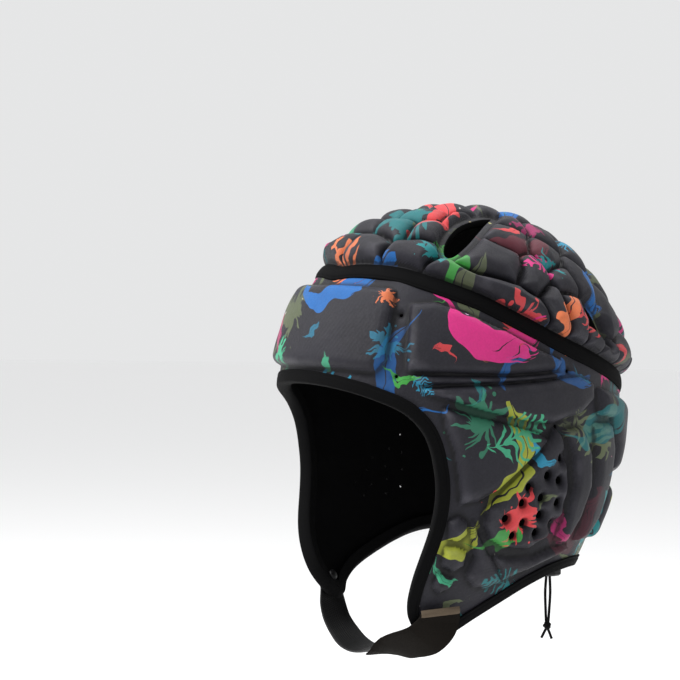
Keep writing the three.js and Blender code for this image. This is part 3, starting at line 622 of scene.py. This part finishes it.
crown = make_panel("crown_pads", crown_chart, CROWN_BOX, PAD_GRID, rippled(crown_depth, crown_chart, 9, 0.22),
                   lambda x, y: under_tape(x, y, 1.5), vent_outlines,
                   ["crown_panel"], wall_to=LINING_FRONT)
crown_inner = make_panel("crown_inner_cloth", crown_chart, CROWN_BOX, LINING_GRID,
                         rippled(lining_depth, crown_chart, 7, 0.15),
                         lambda x, y: under_tape(x, y, 2), vent_outlines,
                         ["crown_lining"])

# %% [markdown]
# The wrap panel: forehead, side and back pads, cheek flaps, and over each ear a guard
# with a dozen sound holes. Its edges end unseen, under the tape and inside the binding.

# %% Wrap panel and its lining
def ring(around, up_angle, radius, sides=24):
    """A true circle on the cap, drawn in the flat pattern."""
    here = form_point(around, up_angle)
    mm_x = np.linalg.norm(form_point(around + 1 / SIDE_X, up_angle) - here)
    mm_y = np.linalg.norm(form_point(around, up_angle + 1 / SIDE_Y) - here)
    turn = np.linspace(0, 2 * np.pi, sides, endpoint=False)
    return np.stack([around * SIDE_X + radius / mm_x * np.cos(turn),
                     up_angle * SIDE_Y + radius / mm_y * np.sin(turn)], 1)


hole_outlines = [ring(flip * a, u, r) for a, u, r in WRAP_HOLES for flip in (1, -1)]
REACH = 180 * SIDE_X
WRAP_BOX = (-REACH, REACH, -69 * SIDE_Y, 45 * SIDE_Y)
WRAP_PAD_GRID, WRAP_LINING_GRID = 1.2, 1.8
PINHOLE_RADIUS = 1.0


def wrap_keep(inset):
    def keep(x, y):
        level = (seam_room(x, y) > -0.8) & (inside(np.abs(x), y, edge_loop) > 0)
        out = level.copy()
        points = side_chart(x[level], y[level])
        edge = form_point(*free_edge[::2].T)
        out[level] = near_line(points, edge) > inset
        return out
    return keep


wrap = make_panel("wrap_pads", side_chart, WRAP_BOX, WRAP_PAD_GRID,
                  rippled(wrap_depth, side_chart, 11, 0.28), wrap_keep(2.5), hole_outlines,
                  ["wrap_panel"], wall_to=LINING_FRONT, wrap_round=True)
pin_holes = [ring(flip * a, u, PINHOLE_RADIUS, 12)
             for a, u, r in WRAP_HOLES if r > SOUND_HOLE for flip in (1, -1)]
wrap_inner = make_panel("wrap_inner_cloth", side_chart, WRAP_BOX, WRAP_LINING_GRID,
                        rippled(lining_depth, side_chart, 8, 0.2), wrap_keep(3.2), pin_holes,
                        ["wrap_lining"], wrap_round=True)

# %% [markdown]
# Each lining is a cut of thin knit, stretched over the inside of its foam. The flat
# pattern would give its width and length, and the mesh its area, because the cut isn't a
# rectangle, but no size is worked out here: each lining's flat pattern is only read back.

# %% Each lining's flat pattern is read back
def declare_lining(piece):
    mesh = piece.data
    flat = np.empty(2 * len(mesh.loops))
    mesh.uv_layers["flat"].data.foreach_get("uv", flat)


declare_lining(crown_inner)
declare_lining(wrap_inner)

# %% [markdown]
# Tape and binding are the same idea: a small cross-section carried along a line. Each
# corner of the section is a rail, moved sideways over the form and sunk to its depth.

# %% Tape over the seam, and edge binding
def carry(name, line, section, replaces, spread):
    rails = []
    for distance, depth in section:
        a, u = beside(line, distance, spread).T
        rails.append(skin(side_chart, a * SIDE_X, u * SIDE_Y, depth))
    points = np.stack(rails, 1)
    n, m = points.shape[:2]
    piece = make_mesh(name, points.reshape(-1, 3), tube_faces(n, m, closed=True), replaces)
    run = np.arange(n) * np.linalg.norm(points[1:, 0] - points[:-1, 0], axis=1).mean()
    girth = np.concatenate([[0], np.cumsum(np.hypot(*np.diff(section, axis=0).T))])
    lay_flat(piece, np.stack(np.broadcast_arrays(run[:, None], girth[None]), -1).reshape(-1, 2))
    return piece


TAPE_TOP, TAPE_FOOT = 4.5, 6.3  # mm under the form
STITCH_DEPTH = 0.28
tape_across = np.linspace(-1, 1, 23)
stitch_dip = STITCH_DEPTH * np.exp(-((np.abs(tape_across) - 0.74) / 0.07) ** 2)
tape_top = [(TAPE_HALF * t, TAPE_TOP + 0.75 * t * t + dip + 0.5 * abs(t) ** 12)
            for t, dip in zip(tape_across, stitch_dip)]
TAPE_SECTION = [(-TAPE_HALF, TAPE_FOOT)] + tape_top + [(TAPE_HALF, TAPE_FOOT)]
tape = carry("seam_tape", tape_line, TAPE_SECTION, ["crown_tape"], 0)

FOLD_MIDDLE, FOLD_HALF, FOLD_OUT = 8.8, 4.15, 1.9  # the fold is half an ellipse
OUTER_FACE, INNER_FACE, LEG_START = 4.65, 12.95, 2.4
fold = [(FOLD_OUT - FOLD_OUT * math.sin(t), FOLD_MIDDLE - FOLD_HALF * math.cos(t))
        for t in np.linspace(0, math.pi, 15)]
leg = np.linspace(BINDING, LEG_START, 12)
groove = 0.3 * np.exp(-((leg - 6.4) / 0.5) ** 2)
outer_leg = [(d, OUTER_FACE + 0.4 * ((d - LEG_START) / 5.6) ** 8 + g) for d, g in zip(leg, groove)]
inner_leg = [(d, INNER_FACE) for d in leg[::-1]]
BINDING_SECTION = outer_leg + fold + inner_leg + [(BINDING, 12.2), (1.7, 12.1), (1.7, 5.65), (BINDING, 5.7)]
binding = carry("edge_binding_tape", free_edge, BINDING_SECTION, ["edge_binding"], 10)

# %% [markdown]
# The chin strap is flat webbing sewn to the wearer's right flap. It passes under the
# chin without a twist and ends under a wider tab of loop cloth that comes down from the
# left flap. Both are a flat section swept along a smooth path, with the direction of
# the width given at each point, so they turn as real webbing does.

# %% Chin strap and tab
def on_flap(around, up_angle, depth, way):
    """A row of a path that lies on the flap, its width level with the cap."""
    before, at, after = (skin(side_chart, (around + turn) * SIDE_X, up_angle * SIDE_Y, depth)
                         for turn in (-2.0, 0, 2.0))
    return [*at, *(unit(after - before) * way)]


STRAP_PATH = [  # x, y, z and the direction of the width
    on_flap(-57, -60, 3.4, 1), [-56.2, -40.6, -112, 0.3, -0.95, -0.1],
    [-52.4, -41.6, -120.5, 0, -0.99, -0.05], [-47.5, -42, -128, -0.05, -0.98, -0.15],
    [-38.6, -42.3, -134.6, 0, -0.95, -0.3], [-28, -43.8, -138.6, 0, -0.95, -0.28],
    [-14, -46, -140.2, 0, -0.98, -0.18], [4, -49.4, -138.6, 0, -0.99, -0.05],
    [16, -51.2, -136, 0, -0.98, 0.15], [28, -52.4, -132, 0, -0.85, 0.5],
]
TAB_PATH = [
    on_flap(54, -57, 1.6, -1), on_flap(53.4, -58.8, 1.2, -1),
    [60.8, -47.8, -119.6, -0.36, -0.82, 0.42], [54.5, -51.2, -126, -0.25, -0.72, 0.6],
    [42.5, -53.8, -130.2, 0.05, -0.72, 0.66], [30, -54.2, -134, 0.1, -0.8, 0.55],
    [16, -52.6, -138.4, 0.05, -0.95, 0.2], [6, -51, -140.6, 0, -0.99, 0],
]


RIB_RELIEF = 0.2


def make_webbing(name, rows, width, thick, steps, ribs, replaces, slant=0):
    """Slant cuts the far end at an angle, by that many mm from edge to edge."""
    path = curve_through(rows, steps + 1)
    at, lean = path[:, :3], path[:, 3:]
    along = unit(np.gradient(at, axis=0))
    wide = unit(lean - along * (lean * along).sum(-1, keepdims=True))
    out = np.cross(wide, along)
    w = np.linspace(-1, 1, 41)
    rib = RIB_RELIEF * np.abs(np.sin(w * math.pi * ribs / 2)) if ribs else 0 * w
    half = thick / 2 * (1 - 0.5 * np.abs(w) ** 10) - 0.12 + rib
    face_up = [(width / 2 * a, b) for a, b in zip(w, half)]
    section = face_up + [(a, -b) for a, b in face_up[::-1]]
    cut = smooth_step(np.linspace(0, 1, len(at)), 0.55, 1)[:, None] * slant / width
    points = np.stack([at + wide * a + out * b - along * cut * (a + width / 2) for a, b in section], 1)
    n, m = points.shape[:2]
    ends = [list(range(m))[::-1], list(range((n - 1) * m, n * m))]
    piece = make_mesh(name, points.reshape(-1, 3), tube_faces(n, m) + ends, replaces)
    run = np.concatenate([[0], np.cumsum(np.linalg.norm(np.diff(at, axis=0), axis=1))])
    lay_flat(piece, np.array([[r, a] for r in run for a, _ in section]))
    print(name, "length mm:", round(run[-1]))
    return piece


strap = make_webbing("chin_webbing", STRAP_PATH, width=17, thick=1.8, steps=160, ribs=14,
                     replaces=["chin_strap"])
tab = make_webbing("loop_tab", TAB_PATH, width=22, thick=1.6, steps=120, ribs=0,
                   replaces=["strap_tab"], slant=14)

# The tab's sewn end has come up a little and shows its paler underside
LIP_PATH = [on_flap(54, up_angle, depth, -1)
            for up_angle, depth in ((-57.3, 0.8), (-56.8, 0.3), (-56.3, 0.5), (-55.9, 1.8))]
lip = make_webbing("tab_lip", LIP_PATH, width=21, thick=0.9, steps=24, ribs=0,
                   replaces=[])

# %% [markdown]
# Colours are written as a screen shows them, from 0 to 255, and turned into the linear
# light that Blender works in. The inks are bright, and the fabric under them is a dark
# charcoal with a breath of blue.

# %% Ink colours
STUDIO_LEVEL = 0.68  # the studio is brighter than a unit of light, so the cloth is darker


def ink(r, g, b):
    """A screen colour from 0 to 255, as the linear colour that Blender works in."""
    c = np.array([r, g, b]) / 255
    return STUDIO_LEVEL * np.where(c <= 0.04045, c / 12.92, ((c + 0.055) / 1.055) ** 2.4)


INKS = {
    "coral": ink(228, 74, 78), "teal": ink(26, 138, 142), "sea": ink(70, 176, 134),
    "blue": ink(28, 104, 178), "sky": ink(44, 158, 196), "green": ink(70, 168, 72),
    "pink": ink(228, 50, 138), "orange": ink(240, 130, 82), "olive": ink(110, 120, 86),
    "maroon": ink(122, 46, 60), "brown": ink(122, 78, 68), "yellow": ink(205, 214, 66),
}
CHARCOAL = ink(35, 34, 41)


# %% [markdown]
# The print is a generic one: brush strokes, fronds, blades and paint splashes in bright
# colours, laid over each other in a layout of its own. Motifs are scattered by throwing
# darts at the form and keeping those that have room. Each face then stores where it lies
# on its nearest motif, so that the shader draws any number of crisp motifs at the cost
# of one.

# %% Scatter the motifs
def scatter(seed, sizes, inks, cover, kinds=(0.38, 0.14, 0.16, 0.32), room=0.95):
    """Rows of centre, two directions, radius, kind, colour, strength and a random shift."""
    rng = np.random.default_rng(seed)
    placed = []
    for radius, tries in sizes:
        for _ in range(tries):
            around, height = rng.uniform(-180, 180), rng.uniform(-1, 1)
            up_angle = math.degrees(math.asin(height)) if height > 0 else -66 * -height
            centre = form_point(around, up_angle)
            if all(np.linalg.norm(centre - p[0]) > room * (radius + p[3]) for p in placed):
                turned = form_point(around + 1, up_angle) - centre
                raised = form_point(around, up_angle + 1) - centre
                normal = unit(np.cross(turned, raised))
                side = unit(np.cross(normal, rng.normal(size=3)))
                colour = inks[int(rng.integers(len(inks)))]
                strength = cover if rng.random() < 0.75 else 0.5 * cover
                placed.append((centre, side, np.cross(normal, side), radius, int(rng.choice(4, p=kinds)),
                               INKS[colour], strength, rng.uniform(0, 50)))
    print("motifs placed:", len(placed))
    return placed


LAYERS = {
    "large": scatter(11, [(40, 60), (32, 300), (22, 600), (12, 500)],
                     ["coral", "teal", "sea", "blue", "sky", "pink", "orange", "coral", "green",
                      "blue"], 1.0),
    "small": scatter(29, [(34, 60), (25, 240), (15, 400), (9, 300)],
                     ["maroon", "olive", "brown", "teal", "blue", "maroon", "teal", "olive",
                      "yellow"], 0.62),
    "fine": scatter(47, [(22, 60), (14, 300), (8, 500)],
                    ["green", "sky", "coral", "sea", "orange", "olive", "sky", "pink"], 0.85,
                    kinds=(0.4, 0.3, 0.2, 0.1), room=1.15),
}
MOTIF_EDGE = 1.06  # times the radius, beyond which a face belongs to no motif
OFF_MOTIF = 9  # a place that no shape reaches


def lay_print(piece, layer, motifs):
    mesh = piece.data
    centre, side, across, radius, kind, colour, strength, shift = (np.array(m) for m in zip(*motifs))
    cloth = np.empty(3 * len(mesh.vertices))
    mesh.attributes["cloth"].data.foreach_get("vector", cloth)
    loops = corner_points(mesh)
    at = cloth.reshape(-1, 3)[loops] / MM
    counts = np.empty(len(mesh.polygons), int)
    mesh.polygons.foreach_get("loop_total", counts)
    owner = np.repeat(np.arange(len(counts)), counts)
    middle = np.stack([np.bincount(owner, at[:, k]) / counts for k in range(3)], 1)
    reach = np.stack([np.linalg.norm(middle - c, axis=1) / r for c, r in zip(centre, radius)], 1)
    pick = reach.argmin(1)[owner]
    clear = reach.min(1)[owner] > MOTIF_EDGE
    offset = at - centre[pick]
    u = (offset * side[pick]).sum(1) / radius[pick]
    v = (offset * across[pick]).sum(1) / radius[pick]
    place = np.stack([np.where(clear, OFF_MOTIF, u), np.where(clear, OFF_MOTIF, v), shift[pick]], 1)
    paint = np.hstack([colour[pick], strength[pick][:, None]])
    for name, form, field, values in (("_place", "FLOAT_VECTOR", "vector", place),
                                      ("_kind", "FLOAT", "value", kind[pick].astype(float)),
                                      ("_ink", "FLOAT_COLOR", "color", paint)):
        made = mesh.attributes.new(layer + name, form, "CORNER")
        made.data.foreach_set(field, values.ravel())


for piece in (crown, wrap):
    for layer, motifs in LAYERS.items():
        lay_print(piece, layer, motifs)

# %% [markdown]
# Materials are built from nodes. A tiny writer keeps them readable: each call adds one
# maths node and returns its output, so that a formula reads like a formula. The steps
# used most have short names of their own.

# %% Node writer
class Nodes:
    def __init__(self, tree):
        self.tree = tree

    def add(self, kind, out=0, settings=(), **inputs):
        node = self.tree.nodes.new(kind)
        for key, value in dict(settings).items():
            setattr(node, key, value)
        for key, value in inputs.items():
            numbered = key[0] == "i" and key[1:].isdigit()
            self.feed(node.inputs[int(key[1:])] if numbered else node.inputs[key], value)
        return node.outputs[out]

    def feed(self, socket, value):
        if isinstance(value, bpy.types.NodeSocket):
            self.tree.links.new(value, socket)
        else:
            socket.default_value = value

    def math(self, operation, *values, clamp=False):
        named = {f"i{k}": v for k, v in enumerate(values)}
        return self.add("ShaderNodeMath", settings={"operation": operation, "use_clamp": clamp}, **named)

    def times(self, a, b):
        return self.math("MULTIPLY", a, b)

    def minus(self, a, b):
        return self.math("SUBTRACT", a, b)

    def scaled(self, value, by, plus, clamp=False):
        return self.math("MULTIPLY_ADD", value, by, plus, clamp=clamp)

    def below(self, value, limit):
        return self.math("LESS_THAN", value, limit)

    def size(self, value):
        return self.math("ABSOLUTE", value)

    def wave(self, value, period):
        return self.math("SINE", self.times(value, 2 * math.pi / period))

    def vector(self, operation, *values, out=0):
        named = {f"i{k}": v for k, v in enumerate(values)}
        return self.add("ShaderNodeVectorMath", out, settings={"operation": operation}, **named)

    def noise(self, where, scale, detail=2.0, rough=0.5):
        return self.add("ShaderNodeTexNoise", Vector=where, Scale=scale, Detail=detail, Roughness=rough)

    def ramp(self, value, low, high):
        return self.add("ShaderNodeMapRange", settings={"interpolation_type": "SMOOTHSTEP"},
                        Value=value, i1=low, i2=high)

    def mix(self, amount, a, b):
        node = self.tree.nodes.new("ShaderNodeMix")
        node.data_type = "RGBA"
        for number, value in zip((0, 6, 7), (amount, a, b)):
            colour = isinstance(value, (tuple, np.ndarray))
            self.feed(node.inputs[number], (*value[:3], 1) if colour else value)
        return node.outputs[2]

    def flat_pattern(self):
        """The two coordinates of the flat cloth, in metres."""
        where = self.add("ShaderNodeUVMap", settings={"uv_map": "flat"})
        return self.add("ShaderNodeSeparateXYZ", i0=where).node.outputs[:2]

    def attribute(self, name, out="Vector"):
        node = self.tree.nodes.new("ShaderNodeAttribute")
        node.attribute_name = name
        return node.outputs[out]


def new_material(name, rough, sheen=0.0, gloss=0.5):
    material = bpy.data.materials.new(name)
    material.use_nodes = True
    shader = material.node_tree.nodes["Principled BSDF"]
    shader.inputs["Roughness"].default_value = rough
    shader.inputs["Sheen Weight"].default_value = sheen
    shader.inputs["Specular IOR Level"].default_value = gloss
    shader.inputs["Sheen Roughness"].default_value = 0.4
    return material, shader, Nodes(material.node_tree)


def dress(nodes, shader, colour, height, strength=0.8, distance=1.0):
    """Colour and relief of a material."""
    nodes.feed(shader.inputs["Base Color"], colour)
    shaped = nodes.add("ShaderNodeBump", Height=height, Strength=strength, Distance=distance)
    nodes.feed(shader.inputs["Normal"], shaped)


# %% [markdown]
# The motif shapes. Each is a test on the motif's own coordinates, which run from -1 to 1
# along and across it: a swoosh of the brush, a frond, a splash of paint and a curved
# blade. Noise bends the coordinates first, so that no two look alike.

# %% Motif shapes as one node group
shapes = bpy.data.node_groups.new("motif_shapes", "ShaderNodeTree")
SOCKETS = (("Place", "INPUT", "Vector"), ("Kind", "INPUT", "Float"), ("Mask", "OUTPUT", "Float"))
for name, way, form in SOCKETS:
    shapes.interface.new_socket(name, in_out=way, socket_type="NodeSocket" + form)
g = Nodes(shapes)
entry = shapes.nodes.new("NodeGroupInput")
place, kind = entry.outputs["Place"], entry.outputs["Kind"]
bent = g.add("ShaderNodeTexNoise", 1, Vector=place, Scale=1.6, Detail=1.5)
bent = g.vector("SCALE", g.vector("SUBTRACT", bent, (0.5, 0.5, 0.5)))
bent.node.inputs["Scale"].default_value = 0.9
wavy_place = g.vector("ADD", place, bent)
wavy = g.add("ShaderNodeSeparateXYZ", i0=wavy_place).node
seed = g.add("ShaderNodeSeparateXYZ", 2, i0=place)
u, v = wavy.outputs[0], wavy.outputs[1]
size_v = g.size(v)
bell = g.minus(1.0, g.times(u, u))

# A swoosh that tapers to a tail and dries out at the thick end
spine = g.minus(v, g.scaled(g.times(u, u), 0.62, -0.26))
taper = g.math("POWER", g.scaled(u, 0.5, 0.5, clamp=True), 1.3)
stroke_width = g.times(g.times(g.math("POWER", bell, 0.6), taper), 0.5)
stroke = g.below(g.size(spine), stroke_width)
hair_at = g.add("ShaderNodeCombineXYZ", i0=g.times(u, 1.2), i1=g.times(spine, 14.0), i2=seed)
dry = g.math("GREATER_THAN", g.scaled(u, -0.42, g.noise(hair_at, 2.0, 2)), 0.13)
stroke = g.times(stroke, dry)

# A frond with leaflets on both sides of its stalk
comb = g.math("FRACT", g.minus(g.times(u, 3.6), g.times(size_v, 2.6)))
leaflets = g.below(comb, g.minus(0.6, g.times(size_v, 0.6)))
envelope = g.below(size_v, g.times(bell, 0.6))
stalk = g.below(size_v, g.times(bell, 0.05))
frond = g.math("MAXIMUM", g.times(leaflets, envelope), stalk)

# A splash of paint: a blot that throws arms, and drops beyond them
round_room = g.vector("LENGTH", g.vector("MULTIPLY", place, (1, 1, 0)), out=1)
heading = g.vector("NORMALIZE", g.vector("MULTIPLY", wavy_place, (1, 1, 0)))
heading = g.vector("ADD", heading, g.add("ShaderNodeCombineXYZ", i2=seed))
arms = g.ramp(g.noise(heading, 3.4, 1.0), 0.42, 0.78)
splash = g.below(g.vector("LENGTH", g.vector("MULTIPLY", wavy_place, (1, 1, 0)), out=1),
                g.scaled(arms, 0.72, 0.3))
drops = g.add("ShaderNodeTexVoronoi", Vector=place, Scale=3.2).node
drop = g.below(drops.outputs["Distance"], g.scaled(g.noise(place, 3.0, 1), 0.7, -0.26))
splash = g.math("MAXIMUM", splash, drop)
rim = g.below(round_room, 0.97)

# A curved blade, plain but for one light rib
bow = g.minus(v, g.scaled(g.times(u, u), -0.55, 0.25))
blade = g.below(g.size(bow), g.times(bell, g.scaled(u, -0.14, 0.22)))
rib_line = g.math("GREATER_THAN", g.size(g.minus(bow, 0.03)), 0.012)
blade = g.times(blade, rib_line)

mask = 0.0
for number, shape in enumerate((stroke, frond, splash, blade)):
    chosen = g.math("COMPARE", kind, float(number), 0.4)
    mask = g.scaled(chosen, shape, mask)
mask = g.times(mask, rim)
leave = shapes.nodes.new("NodeGroupOutput")
shapes.links.new(mask, leave.inputs["Mask"])

# %% [markdown]
# Printed stretch fabric: charcoal knit with a faint heather, three layers of ink, and
# fine specks. Painted shade darkens the creases between pads, and a painted highlight
# makes the crests a little paler. The knit itself is a bump of small loops of about a
# millimetre, with low sheen, and a second, larger bump gives the fabric its slight
# slackness over the foam.

# %% Printed fabric
KNIT_PERIODS = (0.0011, 0.0017)  # metres
KNIT_RELIEF, SLACK_RELIEF = 0.00009, 0.0012
printed, shader, n = new_material("printed_stretch_fabric", 0.5, 0.03, 0.2)
cloth = n.attribute("cloth")
heather = n.ramp(n.noise(cloth, 900.0, 3, 0.7), 0.35, 0.7)
colour = n.mix(heather, CHARCOAL * 0.82, CHARCOAL * 1.28)
patch = n.ramp(n.noise(cloth, 30.0, 2), 0.35, 0.7)
colour = n.mix(n.times(patch, 0.35), colour, CHARCOAL * np.array([0.8, 0.8, 1.05]))
for layer in ("small", "fine", "large"):
    group = n.tree.nodes.new("ShaderNodeGroup")
    group.node_tree = shapes
    n.tree.links.new(n.attribute(layer + "_place"), group.inputs["Place"])
    n.tree.links.new(n.attribute(layer + "_kind", "Fac"), group.inputs["Kind"])
    inked, strength = (n.attribute(layer + "_ink", part) for part in ("Color", "Alpha"))
    worn = n.scaled(n.noise(cloth, 45.0, 3), 0.5, 0.72, clamp=True)
    shade = n.mix(n.times(heather, 0.22), inked, n.mix(0.5, inked, CHARCOAL))
    cover = n.times(group.outputs["Mask"], n.times(strength, worn))
    colour = n.mix(cover, colour, shade)
cell = n.add("ShaderNodeTexVoronoi", Vector=cloth, Scale=95.0).node
speck_size = n.scaled(n.add("ShaderNodeSeparateColor", i0=cell.outputs["Color"]), 0.16, -0.05)
speck = n.below(cell.outputs["Distance"], speck_size)
tint = n.mix(0.55, cell.outputs["Color"], ink(170, 205, 180))
tint = n.add("ShaderNodeHueSaturation", Color=tint, Value=0.95)
colour = n.mix(n.times(speck, 0.85), colour, tint)
valley = n.attribute("valley", "Fac")
# Painted shade: the creases between pads are darkened towards a near-black charcoal, the deeper a point lies
# below its surroundings.
painted_crease_shade = n.ramp(valley, 0.1, 1.1)
colour = n.mix(n.times(painted_crease_shade, 0.72), colour, CHARCOAL * 0.16)
# Painted highlight: the crests are made paler, the higher a point stands above its surroundings, mottled by
# noise.
crest = n.ramp(n.times(valley, -1.0), 0.2, 1.4)
painted_crest_highlight = n.times(crest, n.ramp(n.noise(cloth, 70.0, 4), 0.4, 0.75))
colour = n.mix(n.times(painted_crest_highlight, 0.2), colour, ink(128, 126, 136))
flat_x, flat_y = n.flat_pattern()
rising, falling = n.math("ADD", flat_x, flat_y), n.minus(flat_x, flat_y)
knit = n.times(n.wave(rising, KNIT_PERIODS[0]), n.wave(falling, KNIT_PERIODS[1]))
slack = n.noise(cloth, 60.0, 3, 0.55)
dress(n, shader, colour, n.scaled(knit, KNIT_RELIEF, n.times(slack, SLACK_RELIEF)))
for piece in (crown, wrap):
    piece.data.materials.append(printed)

# %% [markdown]
# The black cloths differ in texture more than in colour. The lining is a matt knit, the
# tape and binding are a fine twill with a stitch row, the webbing has ribs along its
# length crossed by a weave, and the tab is fuzzy loop cloth.

# %% Black cloths
def black_cloth(name, shade, rough, gloss, period_x, period_y, relief, fuzz, pieces):
    """Periods and reliefs of the weave are in metres."""
    material, shader, n = new_material(name, rough, 0.0, gloss)
    flat_x, flat_y = n.flat_pattern()
    weave = n.times(n.wave(flat_x, period_x), n.wave(flat_y, period_y))
    place = n.add("ShaderNodeTexCoord", 3)
    grain = n.noise(place, 1400.0, 2, 0.7)
    cloud = n.noise(place, 55.0, 2)
    tone = n.scaled(weave, 0.12, n.scaled(grain, 0.5, n.times(cloud, 0.5)))
    colour = n.mix(tone, shade * 0.55, shade * 1.6)
    dress(n, shader, colour, n.scaled(weave, relief, n.times(grain, fuzz)))
    for piece in pieces:
        piece.data.materials.append(material)
    return material


BLACK = ink(8, 8, 9)  # each cloth: shade, roughness, gloss, two periods, relief, fuzz, pieces
braids = [knot] + [piece for piece, _, _ in cords.values()]
lining_cloth = black_cloth("matt_lining_knit", BLACK, 0.85, 0.05, 0.0009, 0.0007, 0.00005, 0.0,
                           [crown_inner, wrap_inner])
black_cloth("black_twill_tape", BLACK, 0.8, 0.06, 0.0006, 0.0009, 0.00005, 0.0, [tape, binding])
black_cloth("ribbed_webbing", BLACK, 0.55, 0.2, 0.0012, 0.0024, 0.0001, 0.0, [strap])
black_cloth("fuzzy_loop_cloth", ink(24, 21, 18), 0.9, 0.06, 0.0011, 0.0011, 0.00003, 0.0004, [tab])
black_cloth("pale_underside", ink(96, 84, 70), 0.9, 0.12, 0.0011, 0.0011, 0.00003, 0.0003, [lip])
black_cloth("cord_braid", BLACK, 0.75, 0.1, 0.001, 0.001, 0.0, 0.0, braids)

# %% [markdown]
# The short walls inside the vents and holes aren't printed. They are the last faces of
# each panel, so they get the lining's cloth by number.

# %% Walls of the openings are lining cloth
for piece in (crown, wrap):
    piece.data.materials.append(lining_cloth)
    walls = piece["walls"]
    total = len(piece.data.polygons)
    numbers = np.zeros(total, int)
    numbers[total - walls:] = 1
    piece.data.polygons.foreach_set("material_index", numbers)
    print(piece.name, "wall faces:", walls)

# %% [markdown]
# The toggle and the stud are small moulded plastic. Their CAD shapes are right, so they
# stay and only get a finish with a fine moulded grain.

# %% Moulded plastic
plastic, shader, n = new_material("moulded_black_plastic", 0.45, 0.0, 0.2)
place = n.add("ShaderNodeTexCoord", 3)
tone = n.mix(n.noise(place, 300.0, 3), ink(10, 10, 11), ink(22, 22, 23))
dress(n, shader, tone, n.noise(place, 1800.0, 2), 0.25, 0.0002)
for node in ("cord_lock", "strap_stud"):
    for slot in bpy.data.objects[node].material_slots:
        slot.material = plastic

# %% [markdown]
# A plain pale floor and soft studio light. The cap is held up as a head would hold it,
# so the floor lies well below. One large soft light stands high on the camera's left,
# a weaker one fills from the right, and a pale world keeps the shadows open.

# %% Floor and lights
FLOOR_Z, FLOOR_RADIUS = -0.42, 9
turn = np.linspace(0, 2 * math.pi, 96, endpoint=False)
floor_mesh = bpy.data.meshes.new("floor")
floor_rim = [(FLOOR_RADIUS * math.cos(t), FLOOR_RADIUS * math.sin(t), FLOOR_Z) for t in turn]
floor_mesh.from_pydata(floor_rim, [], [list(range(len(turn)))])
floor = add_object("floor", floor_mesh)
pale, shader, _ = new_material("pale_floor", 0.9)
shader.inputs["Base Color"].default_value = (0.84, 0.84, 0.84, 1)
shader.inputs["Emission Color"].default_value = (1, 1, 1, 1)
shader.inputs["Emission Strength"].default_value = 0.1
floor.data.materials.append(pale)

cap_middle = np.array([0.0, -0.01, -0.12])


def add_light(name, aside, above, toward, size, power):
    """Placed by metres to the camera's right, up and towards the camera from the cap."""
    at = cap_middle + right * aside + np.array([0, 0, above]) + back * toward
    data = bpy.data.lights.new(name, "AREA")
    data.shape = "DISK"
    data.size = size
    data.energy = power
    light = add_object(name, data)
    facing = unit(at - cap_middle)
    level = unit(np.cross([0, 0, 1.0], facing))
    stand(light, level, np.cross(facing, level), facing, at)


add_light("key", -1.1, 1.25, 0.35, 0.6, 40)
add_light("fill", 1.3, 0.3, 0.9, 1.2, 1.5)
add_light("top", 0.2, 1.5, -0.3, 1.0, 14)
world = bpy.data.worlds.new("studio")
world.use_nodes = True
sky = world.node_tree.nodes["Background"]
sky.inputs["Color"].default_value = (0.96, 0.965, 0.97, 1)
sky.inputs["Strength"].default_value = 0.82
bpy.context.scene.world = world
bpy.context.scene.view_settings.view_transform = "Standard"
